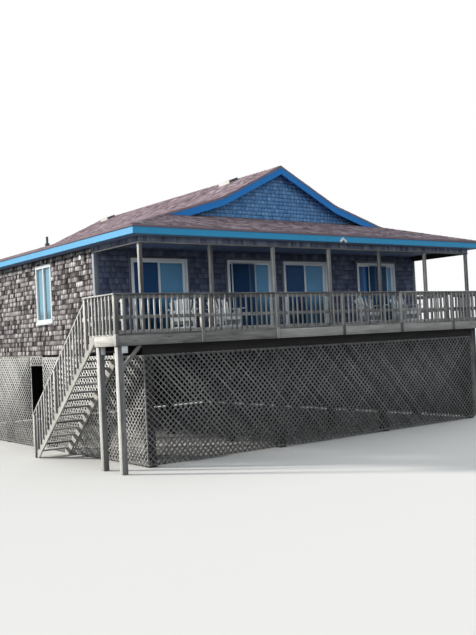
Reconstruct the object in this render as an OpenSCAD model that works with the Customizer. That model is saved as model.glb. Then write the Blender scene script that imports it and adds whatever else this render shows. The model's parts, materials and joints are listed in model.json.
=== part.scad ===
// A beach house on piles: one storey under a two-pitch roof with a gablet at each end, a deep porch
// across the front, a deck around it with a slatted railing, and a stair down its left side.
// House frame inside the modules: X from the left porch post, Y back from the porch posts, Z from the ground.

/* [House] */
// Distance from one porch post to the next
post_spacing = 2032; // [1800:1:2400]
// Number of bays between porch posts
post_bays = 6; // [5:1:6]
// From the porch posts' centre line to the back of the house
house_d = 15110; // [14000:1:17000]
// From the porch posts' centre line to the front wall
porch_d = 2200; // [1900:1:2600]
// Thickness of the outer walls
wall_t = 150; // [110:1:200]
// Height of the ceiling above the deck
ceiling_h = 2300; // [2250:1:2600]
// Depth of the wall skirt that covers the floor frame, below the deck's surface
skirt_drop = 450; // [420:1:500]
// Thickness of the floor frame
floor_t = 273; // [240:1:290]

/* [Roof] */
// How far the eaves stand out from the walls
overhang = 340; // [250:1:500]
// Rise of the lower roof for each millimetre of run
low_pitch = 0.295; // [0.25:0.005:0.34]
// Rise of the upper roof for each millimetre of run
high_pitch = 0.49; // [0.40:0.01:0.60]
// Half the width of the upper roof
upper_half = 2175; // [2000:1:2600]
// Height of the fascia boards
fascia_h = 175; // [140:1:230]
// Thickness of the fascia and barge boards
fascia_t = 38; // [25:1:45]
// Upright thickness of the roof covering
roof_t = 40; // [30:1:60]
// How far the roof covering stands over the fascia
roof_lip = 20; // [10:1:30]
// From the porch posts to the face of the gablet's barge boards
gablet_y = 1835; // [1700:1:2100]
// From the barge boards' face back to the gablet wall
gablet_set = 350; // [250:1:450]
// Upright depth of the barge boards
barge_h = 211; // [180:1:260]
// Thickness of the gablet walls
gable_t = 90; // [60:1:120]
// From the wall plates in to the gablet walls' ends
gable_in = 100; // [80:1:140]
// Thickness of the ceiling and soffit boards
ceiling_t = 25; // [18:1:40]
// Length of a ridge vent
vent_l = 560; // [400:1:700]
// Width of a ridge vent, measured level
vent_w = 340; // [250:1:420]
// Height of a ridge vent's lower end above the roof
vent_h = 110; // [80:1:140]
// Height of a ridge vent's upper end above the roof
vent_top_h = 70; // [40:1:100]
// From the ridge down to a ridge vent's lower end, measured level
vent_down = 420; // [380:1:600]
// From the front gablet back to the middle of the first ridge vent
front_vent = 2325; // [1800:1:3000]
// From the rear gablet forward to the middle of the second ridge vent
rear_vent = 1030; // [700:1:1600]
// Outer diameter of the vent pipe
pipe_d = 90; // [70:1:110]
// Wall thickness of the vent pipe
pipe_wall = 6; // [4:1:10]
// Height of the vent pipe above the roof
pipe_h = 350; // [250:1:500]
// Diameter of the collar around the vent pipe's foot
collar_d = 170; // [140:1:220]
// Height of that collar above the roof
collar_h = 100; // [60:1:140]
// From the left porch post to the vent pipe
pipe_in = 3100; // [2500:1:3400]
// From the rear gablet forward to the vent pipe
pipe_back = 1330; // [900:1:2000]

/* [Porch] */
// Side of a porch post
post_w = 90; // [80:1:140]
// Clear height under the porch header
header_clear = 2132; // [2080:1:2200]
// From the left porch post to the pair of floodlights
flood_x = 6274; // [6150:1:6900]
// From the soffit up to the middle of the floodlights' mount
flood_up = 90; // [70:1:110]
// Diameter of a floodlight's mouth
flood_d = 80; // [60:1:80]
// Length of a floodlight
flood_l = 140; // [110:1:160]
// Turn of a floodlight from straight down, in degrees
flood_turn = 50; // [35:1:65]
// Diameter of the small lamp on the left wall
lamp_d = 120; // [90:1:150]
// How far the small lamp stands out from the wall
lamp_out = 110; // [80:1:150]
// From the front wall back to the small lamp
lamp_back = 600; // [400:1:900]
// From the soffit down to the small lamp's middle
lamp_drop = 230; // [180:1:300]

/* [Porch chairs] */
// Width of a chair's seat
seat_w = 540; // [480:1:600]
// Height of the seat's front edge
seat_h = 350; // [320:1:400]
// Length of a chair on the floor
chair_l = 860; // [780:1:920]
// Height of the arms
arm_h = 570; // [520:1:620]
// Width of an arm
arm_w = 130; // [110:1:150]
// Length of the middle slat of the back
back_l = 710; // [640:1:760]
// Number of slats in the back
back_slats = 6; // [5:1:7]
// Lean of the back from upright, in degrees
back_lean = 22; // [16:1:28]
// How much shorter each back slat of a chair is, for the square of its place from the middle
fan_drop = 14; // [8:1:20]
// Turn of one back slat from the next, in degrees
fan_turn = 4.5; // [3:0.5:6]
// Thickness of the chairs' boards
slat_t = 22; // [18:1:28]

/* [Deck and stair] */
// Height of one riser
riser = 197; // [180:1:205]
// Number of risers from the ground to the deck
risers = 16; // [14:1:17]
// Going of one tread
going = 229; // [220:1:280]
// How far a tread stands out past the one below it
nosing = 25; // [15:1:35]
// Thickness of deck boards, rims, treads, stringers and rails
board_t = 38; // [30:1:45]
// How far the rim stands in front of the porch posts
front_out = 460; // [300:1:600]
// How far the rim stands out beside the end posts
side_out = 974; // [850:1:1100]
// From the porch posts back to the edge of the landing
landing_d = 855; // [750:1:1000]
// Height of the deck rim boards
rim_h = 235; // [200:1:250]
// Upright depth of a stair stringer below the nosing line
stringer_drop = 420; // [390:1:450]
// Side of a landing post
landing_post = 140; // [120:1:160]
// Distance between deck joists
joist_spacing = 508; // [400:1:620]
// How far the rear landing post stands in front of the landing's edge
stair_seat = 255; // [200:1:300]
// Reach of a knee brace along the rim and down the post
brace_reach = 430; // [350:1:520]
// Depth of a knee brace, measured level
brace_w = 130; // [90:1:150]
// How far the newels stand behind the middle of their treads
newel_shift = 15; // [5:1:25]

/* [Railing] */
// Height of the railing above the deck
rail_h = 914; // [860:1:1000]
// Height of the stair rail above the nosing line
stair_rail_h = 905; // [860:1:950]
// Side of a railing post
rail_post = 90; // [80:1:100]
// How far a railing post stands proud of the rim
rail_lap = 40; // [36:1:44]
// Width of the flat cap board
cap_w = 140; // [120:1:160]
// Side of a baluster
baluster = 38; // [30:1:38]
// Number of railing bays along the front
front_bays = 6; // [5:1:8]
// Number of balusters in a front bay
bay_balusters = 13; // [10:1:15]
// Height of the flat rails behind the balusters
flat_rail_h = 80; // [70:1:100]
// Height of the lower rail's underside above the deck
low_rail_z = 0; // [0:1:60]
// Height of the middle rail's underside above the deck
mid_rail_z = 335; // [300:1:420]
// Upright thickness of the stair rail's cap
stair_cap_t = 48; // [38:1:60]
// Upright depth of the sloping rail under that cap
stair_rail_depth = 109; // [89:1:140]
// How far the cap runs on past the last newel
cap_reach = 40; // [10:1:80]
// Distance between stair balusters
stair_baluster_step = 165; // [120:1:200]
// How far lapped balusters end above the stringer's lower edge
lap_lift = 190; // [120:1:240]

/* [Foundation] */
// Side of a pile
pile_w = 200; // [180:1:250]
// Number of piles in a row
pile_columns = 4; // [4:1:5]
// Number of pile rows behind the front wall
rear_rows = 5; // [4:1:6]
// Height of the girders on the piles
girder_h = 235; // [200:1:260]
// Width of the girders on the piles
girder_w = 140; // [110:1:160]
// Distance between lattice bars, measured along the panel
lattice_pitch = 460; // [400:10:600]
// Width of a lattice bar
lattice_bar = 70; // [50:1:90]
// Thickness of the lattice
lattice_t = 24; // [18:1:30]
// Width of the lattice panels' frame
lattice_frame = 90; // [70:1:120]
// Gap between the lattice and the ground
lattice_gap = 40; // [20:1:80]
// Width of the doorway in the left lattice
gate_w = 840; // [760:1:900]
// Height of the doorway in the left lattice
gate_h = 2395; // [2200:1:2450]
// From the porch posts to the near side of the doorway
gate_y = 5700; // [5200:1:6200]

/* [Doors and windows] */
// From the first porch post to the first sliding door
door_1_set = 1008; // [900:1:1100]
// From the third porch post to the second sliding door
door_2_set = 110; // [50:1:200]
// From the fourth porch post to the third sliding door
door_3_set = 196; // [100:1:300]
// From the fifth porch post to the fourth sliding door
door_4_set = 1308; // [1200:1:1400]
// Width of the first, third and fourth doors
door_w = 1790; // [1700:1:1830]
// Width of the second door
small_door_w = 1690; // [1600:1:1720]
// Height of the doors
door_h = 2030; // [1980:1:2060]
// Face width of the door frames
frame_w = 45; // [38:1:60]
// Depth of the door frames
frame_d = 130; // [126:1:136]
// How far door and window frames stand proud of the wall
frame_proud = 20; // [10:1:30]
// Height of the door sill
sill_h = 40; // [30:1:50]
// Face width of a sash member
sash_w = 65; // [50:1:75]
// Thickness of a sash
sash_t = 34; // [30:1:36]
// How far the two sashes of a door overlap
sash_overlap = 50; // [40:1:70]
// Thickness of the glass
glass_t = 8; // [6:1:12]
// From the porch posts to the near side of the side window
window_y = 4825; // [4700:1:5200]
// Width of a window
window_w = 1040; // [900:1:1200]
// Height of a window's sill above the deck
window_sill = 500; // [450:1:600]
// Height of a window's head above the deck
window_head = 2106; // [2050:1:2180]
// Face width of the window frames
window_frame = 70; // [50:1:90]

/* [Running clearances] */
// From the wall's face back to a fixed sash
sash_set = 15; // [12:1:18]
// Clearance between a fixed sash and the sliding one behind it
sash_space = 10; // [8:1:12]
// Clearance beside, above and around a sliding sash
slide_gap = 5; // [5:1:6]
// Clearance between a sliding sash and its track
track_gap = 0.3; // [0.2:0.1:0.5]
// Clearance between the stair and the wall
stair_gap = 15; // [10:1:25]
// Clearance at the end of a joist that hangs from another
hanger_gap = 0.3; // [0.2:0.1:0.5]
// Clearance between mitred boards
mitre_gap = 0.4; // [0.2:0.1:0.6]
// Clearance of the barge boards under and over the roof
barge_seat = 0.3; // [0.2:0.1:0.5]
// Clearance between piles or girders and the walls beside them
pile_gap = 10; // [5:1:20]

/* [Hidden] */
line_w = post_spacing * post_bays;
hp = post_w / 2;
deck_h = riser * risers;
joist_top = deck_h - board_t;
rim_bottom = joist_top - rim_h;
floor_bottom = deck_h - floor_t;
girder_bottom = floor_bottom - girder_h;
plate_z = deck_h + ceiling_h;
eave_z = plate_z + fascia_h;
eave = hp + overhang;
run = line_w / 2 + eave;
break_run = run - upper_half;
rear_eave = house_d + overhang;
rear_gablet = rear_eave - eave - gablet_y;
slope = riser / going;
nose_y = landing_d + nosing;
stringer_y = landing_d - stair_seat;
foot_y = landing_d + (risers - 1) * going;
inner_x = -hp - stair_gap;
cap_lip = 15;
front_post_y = -front_out - rail_lap;
front_y = front_post_y - cap_lip;
side_x = -side_out - rail_lap - cap_lip;
mid_y = (front_y + rear_eave + roof_lip) / 2;
bay = (line_w + 2 * side_out + 2 * rail_lap - rail_post) / front_bays;
panel_set = 4;
rail_top = deck_h + rail_h;
cap_bottom = rail_top - board_t;
door_x = [door_1_set, 2 * post_spacing + door_2_set, 3 * post_spacing + door_3_set,
    4 * post_spacing + door_4_set];
door_ws = [door_w, small_door_w, door_w, door_w];
pier_x0 = [-hp, for (i = [0:3]) door_x[i] + door_ws[i]];
pier_x1 = [for (i = [0:3]) door_x[i], line_w + hp];
lattice_top = deck_h - skirt_drop;
lattice_in = hp - 6;
skirt_t = 40;
rear_lattice_set = 5;
first_row = porch_d + pile_w / 2 + pile_gap;
last_row = house_d - skirt_t - pile_w / 2 - pile_gap;
row_step = (last_row - first_row) / (rear_rows - 1);
front_row = pile_w / 2 - lattice_in + lattice_t + pile_gap;
row_y = [front_row, for (i = [0:rear_rows - 1]) first_row + i * row_step];
pile_x0 = -hp + skirt_t + pile_gap + pile_w / 2;
pile_x1 = line_w - pile_x0;
frame_lip = 12;
track_w = 8;
fixed_y = porch_d + sash_set;
slider_y = fixed_y + sash_t + sash_space;
window_d = 100;
glass_in = 30;
rear_windows = [line_w * 0.25 - window_w / 2, line_w * 0.75 - window_w / 2];
gable_foot = eave + gable_in;
hip_step = roof_t / low_pitch + 5;
clip_h = run * high_pitch + fascia_h + roof_t;
vent_y = [gablet_y + front_vent, rear_gablet - rear_vent];
pipe_x = pipe_in;
pipe_y = rear_gablet - pipe_back;
pipe_seat = 30;
// Each chair's place: X and Y of the middle of its seat's front edge, and its turn in degrees
chairs = [[1260, 240, -37], [2870, 300, 0], [8250, 300, -12], [9870, 300, -5]];

// Places a shape that is drawn in the house frame about the part's origin
module placed() {
    translate([-line_w / 2, -mid_y, 0]) children();
}

// A box between two corners
module box(a, b) {
    translate(a) cube(b - a);
}

// A shape and its mirror image across the middle of the house
module both_sides() {
    children();
    translate([line_w, 0, 0]) mirror([1, 0, 0]) children();
}

// An outline in Y and Z, carried along X from x0 to x1
module along_x(x0, x1) {
    translate([x0, 0, 0]) rotate([90, 0, 90]) linear_extrude(x1 - x0) children();
}

// An outline in X and Z, carried along Y from y0 to y1
module along_y(y0, y1) {
    translate([0, y1, 0]) rotate([90, 0, 0]) linear_extrude(y1 - y0) children();
}

// Foundation
module piles() color("#8c8478") placed()
    for (y = row_y, i = [0:pile_columns - 1])
        let (x = pile_x0 + i * (pile_x1 - pile_x0) / (pile_columns - 1))
            box([x - pile_w / 2, y - pile_w / 2, 0], [x + pile_w / 2, y + pile_w / 2, girder_bottom]);

module floor_girders() color("#6f675c") placed()
    for (y = row_y)
        let (y0 = y == row_y[0] ? -hp : y - girder_w / 2)
            box([-hp + skirt_t, y0, girder_bottom], [line_w + hp - skirt_t, y0 + girder_w, floor_bottom]);

module house_floor() color("#8a8176") placed()
    box([-hp + skirt_t, porch_d, floor_bottom], [line_w + hp - skirt_t, house_d - skirt_t, deck_h]);

// Deck
module landing_posts() color("#a59d92") placed() both_sides() {
    for (y = [-front_out + board_t, stringer_y - landing_post])
        box([-side_out + board_t, y, 0], [-side_out + board_t + landing_post, y + landing_post, rim_bottom]);
    knee_brace();
}

// A short brace from the corner post up to the girder line
module knee_brace() {
    x0 = -side_out + board_t + landing_post;
    y0 = -front_out + board_t + (landing_post - board_t) / 2;
    along_y(y0, y0 + board_t)
        polygon([[x0, rim_bottom - brace_reach - brace_w], [x0 + brace_reach + brace_w, rim_bottom],
            [x0 + brace_reach, rim_bottom], [x0, rim_bottom - brace_reach]]);
}

module deck_joists() color("#7d756b") placed() {
    inner = -hp + skirt_t;
    count = floor((line_w + 2 * hp - 2 * skirt_t - board_t) / joist_spacing);
    step = (line_w - 2 * inner - board_t) / count;
    for (i = [0:count])
        box([inner + i * step, -front_out + board_t, rim_bottom],
            [inner + i * step + board_t, porch_d, joist_top]);
    // The landings' joists stop a hanger's thickness short of the first long one
    back = stringer_y - board_t;
    both_sides()
        for (share = [1 / 3, 2 / 3, 1])
            let (y = -front_out + share * (back + front_out))
                box([-side_out + board_t, y, rim_bottom], [inner - hanger_gap, y + board_t, joist_top]);
}

module deck_rims() color("#9c948a") placed() {
    box([-side_out, -front_out, rim_bottom], [line_w + side_out, -front_out + board_t, joist_top]);
    both_sides()
        box([-side_out, -front_out, rim_bottom], [-side_out + board_t, stringer_y, joist_top]);
    translate([line_w, 0, 0]) mirror([1, 0, 0])
        box([-side_out, stringer_y, rim_bottom], [-side_out + board_t, landing_d, joist_top]);
    translate([line_w, 0, 0]) mirror([1, 0, 0])
        box([-side_out + board_t, landing_d - board_t, rim_bottom], [-hp + skirt_t, landing_d, joist_top]);
}

module decking() color("#a39b90") placed()
    translate([0, 0, joist_top]) linear_extrude(board_t)
        polygon([[-side_out, -front_out], [line_w + side_out, -front_out], [line_w + side_out, landing_d],
            [line_w + hp, landing_d], [line_w + hp, porch_d], [-hp, porch_d], [-hp, landing_d],
            [-side_out, landing_d]]);

// Stair
function tread_top(k) = deck_h - k * riser;
function nose_z(y) = deck_h - (y - nose_y) * slope;
function newel_y(k) = landing_d + (k - 0.5) * going + newel_shift;

// One notched stringer's outline in Y and Z
module stringer_outline() {
    steps = [for (k = [1:risers - 1]) each [
        [landing_d + (k - 1) * going, tread_top(k) - board_t],
        [landing_d + k * going, tread_top(k) - board_t]]];
    low_foot_y = nose_y + (deck_h - stringer_drop) / slope;
    polygon(concat([[stringer_y, nose_z(stringer_y) - stringer_drop], [stringer_y, joist_top],
        [landing_d, joist_top]], steps, [[foot_y, 0], [low_foot_y, 0]]));
}

module stair_stringers() color("#9c948a") placed() {
    along_x(-side_out, -side_out + board_t) stringer_outline();
    along_x(inner_x - board_t, inner_x) stringer_outline();
}

module stair_treads() color("#a39b90") placed()
    for (k = [1:risers - 1])
        let (y0 = landing_d + (k - 1) * going)
            box([-side_out, y0, tread_top(k) - board_t], [inner_x, y0 + going + nosing, tread_top(k)]);

// A sloping bar's outline in Y and Z, with its top a given height above the nosing line
module sloping(y0, y1, top, depth) {
    polygon([[y0, nose_z(y0) + top - depth], [y1, nose_z(y1) + top - depth],
        [y1, nose_z(y1) + top], [y0, nose_z(y0) + top]]);
}

// Where the foot of a post or baluster that is lapped on the stringer lies
function lapped_foot(y) = nose_z(y) - stringer_drop + lap_lift;

// An upright's outline in Y and Z: a level foot and a head cut to the slope of the cap
module stair_upright(y, width, foot) {
    y0 = y - width / 2;
    y1 = y + width / 2;
    // Uprights are let into the cap by half its thickness
    head = stair_rail_h - stair_cap_t / 2;
    polygon([[y0, foot], [y1, foot], [y1, nose_z(y1) + head], [y0, nose_z(y0) + head]]);
}

module stair_rail() color("#aaa297") placed() {
    newels = [1, round(0.56 * risers), risers - 1];
    outer_x = -side_out - rail_lap;
    first = newel_y(newels[0]);
    last = newel_y(newels[2]) + rail_post / 2;
    along_x(-side_out, -side_out + board_t)
        sloping(first + rail_post / 2, last, stair_rail_h - stair_cap_t / 2,
            stair_rail_depth + stair_cap_t / 2);
    along_x(outer_x, outer_x + rail_post)
        sloping(first + rail_post / 2, last + cap_reach, stair_rail_h, stair_cap_t);
    box([outer_x, first - rail_post / 2, lapped_foot(first)], [-side_out, first + rail_post / 2, cap_bottom]);
    box([-side_out, first - rail_post / 2, tread_top(1)],
        [outer_x + rail_post, first + rail_post / 2, cap_bottom]);
    for (k = [newels[1], newels[2]])
        let (y = newel_y(k)) {
            along_x(outer_x, -side_out) stair_upright(y, rail_post, k == newels[2] ? 0 : lapped_foot(y));
            along_x(-side_out, outer_x + rail_post) stair_upright(y, rail_post, tread_top(k));
        }
    for (s = [0:1])
        let (y0 = newel_y(newels[s]) + rail_post / 2, y1 = newel_y(newels[s + 1]) - rail_post / 2,
            n = round((y1 - y0) / stair_baluster_step))
            for (i = [1:n - 1])
                let (y = y0 + i * (y1 - y0) / n)
                    along_x(-side_out - baluster, -side_out) stair_upright(y, baluster, lapped_foot(y));
}

// Railing panel along X: flat rails behind a row of balusters, between two posts
module panel(length, count) {
    for (z = [low_rail_z, mid_rail_z, rail_h - board_t - flat_rail_h])
        box([0, baluster, z], [length, baluster + board_t, z + flat_rail_h]);
    pitch = length / (count + 1);
    for (i = [1:count])
        box([i * pitch - baluster / 2, 0, low_rail_z],
            [i * pitch + baluster / 2, baluster, rail_h - board_t]);
}

module front_rail() color("#aaa297") placed()
    for (i = [0:front_bays - 1])
        translate([-side_out - rail_lap + rail_post + i * bay, front_post_y + panel_set, deck_h])
            panel(bay - rail_post, bay_balusters);

// The landing's outer side, seen from the left, and the guard beside the stair opening
module end_panels(end_y) {
    side_pitch = bay / (bay_balusters + 1);
    outer = end_y - front_post_y - rail_post;
    translate([-side_out - rail_lap + panel_set, end_y, deck_h]) rotate([0, 0, -90])
        panel(outer, round(outer / side_pitch) - 1);
}

module guard_panel() {
    side_pitch = bay / (bay_balusters + 1);
    y0 = landing_d;
    length = porch_d - y0 - rail_post;
    translate([-hp, porch_d, deck_h]) rotate([0, 0, -90])
        panel(length, round(length / side_pitch) - 1);
}

module side_rails() color("#aaa297") placed() {
    newel = newel_y(1) - rail_post / 2;
    end_panels(newel);
    translate([line_w, 0, 0]) mirror([1, 0, 0]) end_panels(landing_d - rail_post);
    both_sides() guard_panel();
    translate([line_w + hp + rail_post, landing_d - rail_post / 2 + board_t, deck_h]) mirror([0, 1, 0])
        panel(side_out - hp + rail_lap - 2 * rail_post, 4);
}

// A railing post lapped over the rim: full size above the deck and a strip outside it
module lapped_post() {
    box([0, 0, deck_h], [rail_post, rail_post, cap_bottom]);
    box([0, 0, rim_bottom], [rail_post, rail_lap, deck_h]);
}

module rail_posts() color("#9c948a") placed() {
    for (i = [0:front_bays])
        translate([-side_out - rail_lap + i * bay, front_post_y, 0]) lapped_post();
    both_sides() {
        box([-side_out - rail_lap, front_post_y, rim_bottom], [-side_out, front_post_y + rail_post, deck_h]);
        box([-hp, landing_d, deck_h], [-hp + rail_post, landing_d + rail_post, cap_bottom]);
    }
    translate([line_w + side_out + rail_lap - rail_post, landing_d - rail_post, deck_h])
        cube([rail_post, rail_post, rail_h - board_t]);
}

module rail_caps() color("#b0a89d") placed() {
    z0 = cap_bottom;
    y_in = front_y + cap_w;
    x_in = side_x + cap_w;
    end_left = newel_y(1) + rail_post / 2;
    box([side_x, front_y, z0], [line_w - side_x, y_in, rail_top]);
    box([side_x, y_in, z0], [x_in, end_left, rail_top]);
    translate([line_w, 0, 0]) mirror([1, 0, 0]) {
        box([side_x, y_in, z0], [x_in, landing_d + cap_lip, rail_top]);
        box([x_in, landing_d - rail_post - cap_lip, z0], [-hp - cap_lip, landing_d + cap_lip, rail_top]);
    }
    both_sides()
        box([-hp - cap_lip, landing_d - cap_lip, z0], [-hp + rail_post + cap_lip, porch_d, rail_top]);
}

// Lattice panels: a frame and crossing bars, drawn flat in X and Y
module lattice(length, height) {
    half = lattice_pitch / 2;
    hole = half - lattice_bar * 0.7071;
    difference() {
        square([length, height]);
        intersection() {
            translate([lattice_frame, lattice_frame])
                square([length - 2 * lattice_frame, height - 2 * lattice_frame]);
            for (i = [0:ceil(length / half)], j = [0:ceil(height / half)])
                if ((i + j) % 2 == 0)
                    translate([i * half, j * half])
                        polygon([[-hole, 0], [0, -hole], [hole, 0], [0, hole]]);
        }
    }
}

module front_lattice() color("#b7b2aa") placed()
    translate([-hp, -lattice_in + lattice_t, lattice_gap]) rotate([90, 0, 0])
        linear_extrude(lattice_t) lattice(line_w + 2 * hp, girder_bottom - lattice_gap);

// A side panel that runs back from y0 to y1, in the plane of the wall above it
module side_lattice(y0, y1, top) {
    translate([-lattice_in, y0, lattice_gap]) rotate([90, 0, 90])
        linear_extrude(lattice_t) lattice(y1 - y0, top - lattice_gap);
}

module left_lattice_front() color("#b7b2aa") placed()
    side_lattice(-lattice_in + lattice_t, gate_y, girder_bottom);

module left_lattice_rear() color("#b7b2aa") placed() {
    side_lattice(gate_y + gate_w, house_d, lattice_top);
    box([-lattice_in, gate_y, gate_h], [-lattice_in + lattice_t, gate_y + gate_w, lattice_top]);
}

module right_lattice() color("#b7b2aa") placed()
    translate([line_w, 0, 0]) mirror([1, 0, 0])
        side_lattice(-lattice_in + lattice_t, house_d, girder_bottom);

module rear_lattice() color("#b7b2aa") placed()
    translate([-hp + skirt_t, house_d - rear_lattice_set, lattice_gap]) rotate([90, 0, 0])
        linear_extrude(lattice_t) lattice(line_w + 2 * hp - 2 * skirt_t, lattice_top - lattice_gap);

// Porch
module porch_posts() color("#8f877d") placed()
    for (i = [0:post_bays])
        box([i * post_spacing - hp, -hp, deck_h], [i * post_spacing + hp, hp, deck_h + header_clear]);

module porch_header() color("#7d776f") placed() {
    z0 = deck_h + header_clear;
    box([-hp, -hp, z0], [line_w + hp, hp, plate_z]);
    both_sides() box([-hp, hp, z0], [hp, porch_d, plate_z]);
}

// Walls
module wall_piers() color("#5f5c5a") placed()
    for (i = [0:4])
        box([pier_x0[i] + (i == 0 ? wall_t : 0), porch_d, deck_h],
            [pier_x1[i] - (i == 4 ? wall_t : 0), porch_d + wall_t, deck_h + door_h]);

module wall_lintel() color("#5f5c5a") placed()
    box([-hp + wall_t, porch_d, deck_h + door_h], [line_w + hp - wall_t, porch_d + wall_t, plate_z]);

// A side wall's outline in X and Z: full thickness on the floor and a skirt that hangs outside it
module side_wall() {
    difference() {
        along_y(porch_d, house_d)
            polygon([[-hp, deck_h - skirt_drop], [-hp + skirt_t, deck_h - skirt_drop],
                [-hp + skirt_t, deck_h], [-hp + wall_t, deck_h], [-hp + wall_t, plate_z], [-hp, plate_z]]);
        box([-hp - 1, window_y, deck_h + window_sill],
            [-hp + wall_t + 1, window_y + window_w, deck_h + window_head]);
    }
}

module left_wall() color("#8d857c") placed() side_wall();

module right_wall() color("#8d857c") placed() translate([line_w, 0, 0]) mirror([1, 0, 0]) side_wall();

module rear_wall() color("#8d857c") placed()
    difference() {
        along_x(-hp + wall_t, line_w + hp - wall_t)
            polygon([[house_d - wall_t, deck_h], [house_d - skirt_t, deck_h],
                [house_d - skirt_t, deck_h - skirt_drop], [house_d, deck_h - skirt_drop],
                [house_d, plate_z], [house_d - wall_t, plate_z]]);
        for (x = rear_windows)
            box([x, house_d - wall_t - 1, deck_h + window_sill],
                [x + window_w, house_d + 1, deck_h + window_head]);
    }

// Window frame with a middle post, drawn flat with its face at Y = -frame_proud
module window_frame_shape() {
    h = window_head - window_sill;
    along_y(-frame_proud, window_d)
        difference() {
            square([window_w, h]);
            for (x = [window_frame, window_w / 2 + window_frame / 2])
                translate([x, window_frame])
                    square([window_w / 2 - 1.5 * window_frame, h - 2 * window_frame]);
        }
}

module window_glass_shape() {
    h = window_head - window_sill;
    for (x = [window_frame, window_w / 2 + window_frame / 2])
        box([x, glass_in, window_frame],
            [x + window_w / 2 - 1.5 * window_frame, glass_in + glass_t, h - window_frame]);
}

// Puts a window shape into every window opening
module in_windows() {
    both_sides()
        translate([-hp, window_y + window_w, deck_h + window_sill]) rotate([0, 0, -90]) children();
    for (x = rear_windows)
        translate([x + window_w, house_d, deck_h + window_sill]) rotate([0, 0, 180]) children();
}

module window_frames() color("#eceff0") placed() in_windows() window_frame_shape();

module window_glass() color("#6fa8c8", 0.5) placed() in_windows() window_glass_shape();

// Doors
function sash_width(i) = (door_ws[i] - 2 * frame_w + sash_overlap) / 2;
function slider_x(i) = door_x[i] + door_ws[i] - frame_w - slide_gap - sash_width(i);

module door_frames() color("#e6e9ea") placed()
    for (i = [0:3])
        translate([door_x[i], 0, deck_h]) {
            along_y(porch_d - frame_proud, porch_d - frame_proud + frame_d)
                difference() {
                    square([door_ws[i], door_h]);
                    translate([frame_w, sill_h - frame_lip])
                        square([door_ws[i] - 2 * frame_w, door_h - frame_w - sill_h + frame_lip]);
                }
            box([frame_w, fixed_y, sill_h - frame_lip], [door_ws[i] - frame_w, fixed_y + sash_t, sill_h]);
            box([frame_w, slider_y + (sash_t - track_w) / 2, sill_h - frame_lip],
                [door_ws[i] - frame_w, slider_y + (sash_t + track_w) / 2, sill_h]);
        }

// A glazed sash's outline in X and Z
module sash_shape(width, height) {
    difference() {
        square([width, height]);
        translate([sash_w, sash_w]) square([width - 2 * sash_w, height - 2 * sash_w]);
    }
}

module fixed_sashes() color("#e6e9ea") placed()
    for (i = [0:3])
        translate([door_x[i] + frame_w, 0, deck_h + sill_h])
            along_y(fixed_y, fixed_y + sash_t) sash_shape(sash_width(i), door_h - frame_w - sill_h);

module fixed_glass() color("#26527a", 0.5) placed()
    for (i = [0:3])
        let (x = door_x[i] + frame_w + sash_w, y = fixed_y + sash_t / 2 - glass_t / 2)
            box([x, y, deck_h + sill_h + sash_w],
                [x + sash_width(i) - 2 * sash_w, y + glass_t, deck_h + door_h - frame_w - sash_w]);

module slider_sash(i) color("#e6e9ea") placed()
    translate([slider_x(i), 0, deck_h + sill_h + track_gap])
        along_y(slider_y, slider_y + sash_t)
            sash_shape(sash_width(i), door_h - frame_w - sill_h - track_gap - slide_gap);

module slider_glass(i) color("#5d93b5", 0.5) placed()
    let (x = slider_x(i) + sash_w, y = slider_y + sash_t / 2 - glass_t / 2)
        box([x, y, deck_h + sill_h + track_gap + sash_w],
            [x + sash_width(i) - 2 * sash_w, y + glass_t, deck_h + door_h - frame_w - slide_gap - sash_w]);

// Roof
function roof_under(u) = eave_z + (u < break_run ? u * low_pitch
    : break_run * low_pitch + (u - break_run) * high_pitch);

module ceiling() color("#4d5a66") placed()
    box([-eave + fascia_t, -eave + fascia_t, plate_z],
        [line_w + eave - fascia_t, rear_eave - fascia_t, plate_z + ceiling_t]);

// Fascia outline across its run: its top follows the underside of the roof
module fascia_outline(x0) {
    polygon([[x0, plate_z], [x0 + fascia_t, plate_z], [x0 + fascia_t, eave_z + fascia_t * low_pitch],
        [x0, eave_z]]);
}

// One side's fascia, mitred in plan so that each board's top follows its own slope of the roof
module mitred(y0, y1) {
    m = mitre_gap / 2;
    intersection() {
        along_y(y0, y1) fascia_outline(-eave);
        linear_extrude(eave_z + fascia_h)
            polygon([[-eave, y0 + m], [-eave + fascia_t, y0 + fascia_t + m],
                [-eave + fascia_t, y1 - fascia_t - m], [-eave, y1 - m]]);
    }
}

module fascia_boards() color("#2f86bd") placed() {
    both_sides() mitred(-eave, rear_eave);
    both_ends() rotate([0, 0, 90]) mirror([0, 1, 0]) mitred(-eave, line_w + eave);
}

// The roof covering's outline: distance in from the fascia's face, and height
module roof_band(u1) {
    us = u1 > break_run ? [-roof_lip, break_run, u1] : [-roof_lip, u1];
    under = [for (u = us) [u, roof_under(u)]];
    over = [for (i = [len(us) - 1:-1:0]) [us[i], roof_under(us[i]) + roof_t]];
    polygon(concat(under, over));
}

module roof_side() {
    e = eave + roof_lip;
    intersection() {
        along_y(-e, rear_eave + roof_lip) translate([-eave, 0]) roof_band(run);
        translate([0, 0, plate_z]) linear_extrude(clip_h)
            polygon([[-e, -e], [gablet_y, gablet_y], [line_w / 2, gablet_y], [line_w / 2, rear_gablet],
                [gablet_y, rear_gablet], [-e, rear_eave + roof_lip]]);
    }
}

module roof_hip() {
    e = eave + roof_lip;
    back = gablet_y + gablet_set;
    intersection() {
        along_x(-e, line_w + e) translate([-eave, 0]) roof_band(back + eave);
        translate([0, 0, plate_z]) linear_extrude(clip_h)
            polygon([[-e, -e], [line_w + e, -e], [line_w - gablet_y, gablet_y],
                [line_w - gablet_y - hip_step, gablet_y], [line_w - back - hip_step, back],
                [back + hip_step, back], [gablet_y + hip_step, gablet_y], [gablet_y, gablet_y]]);
    }
}

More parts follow.
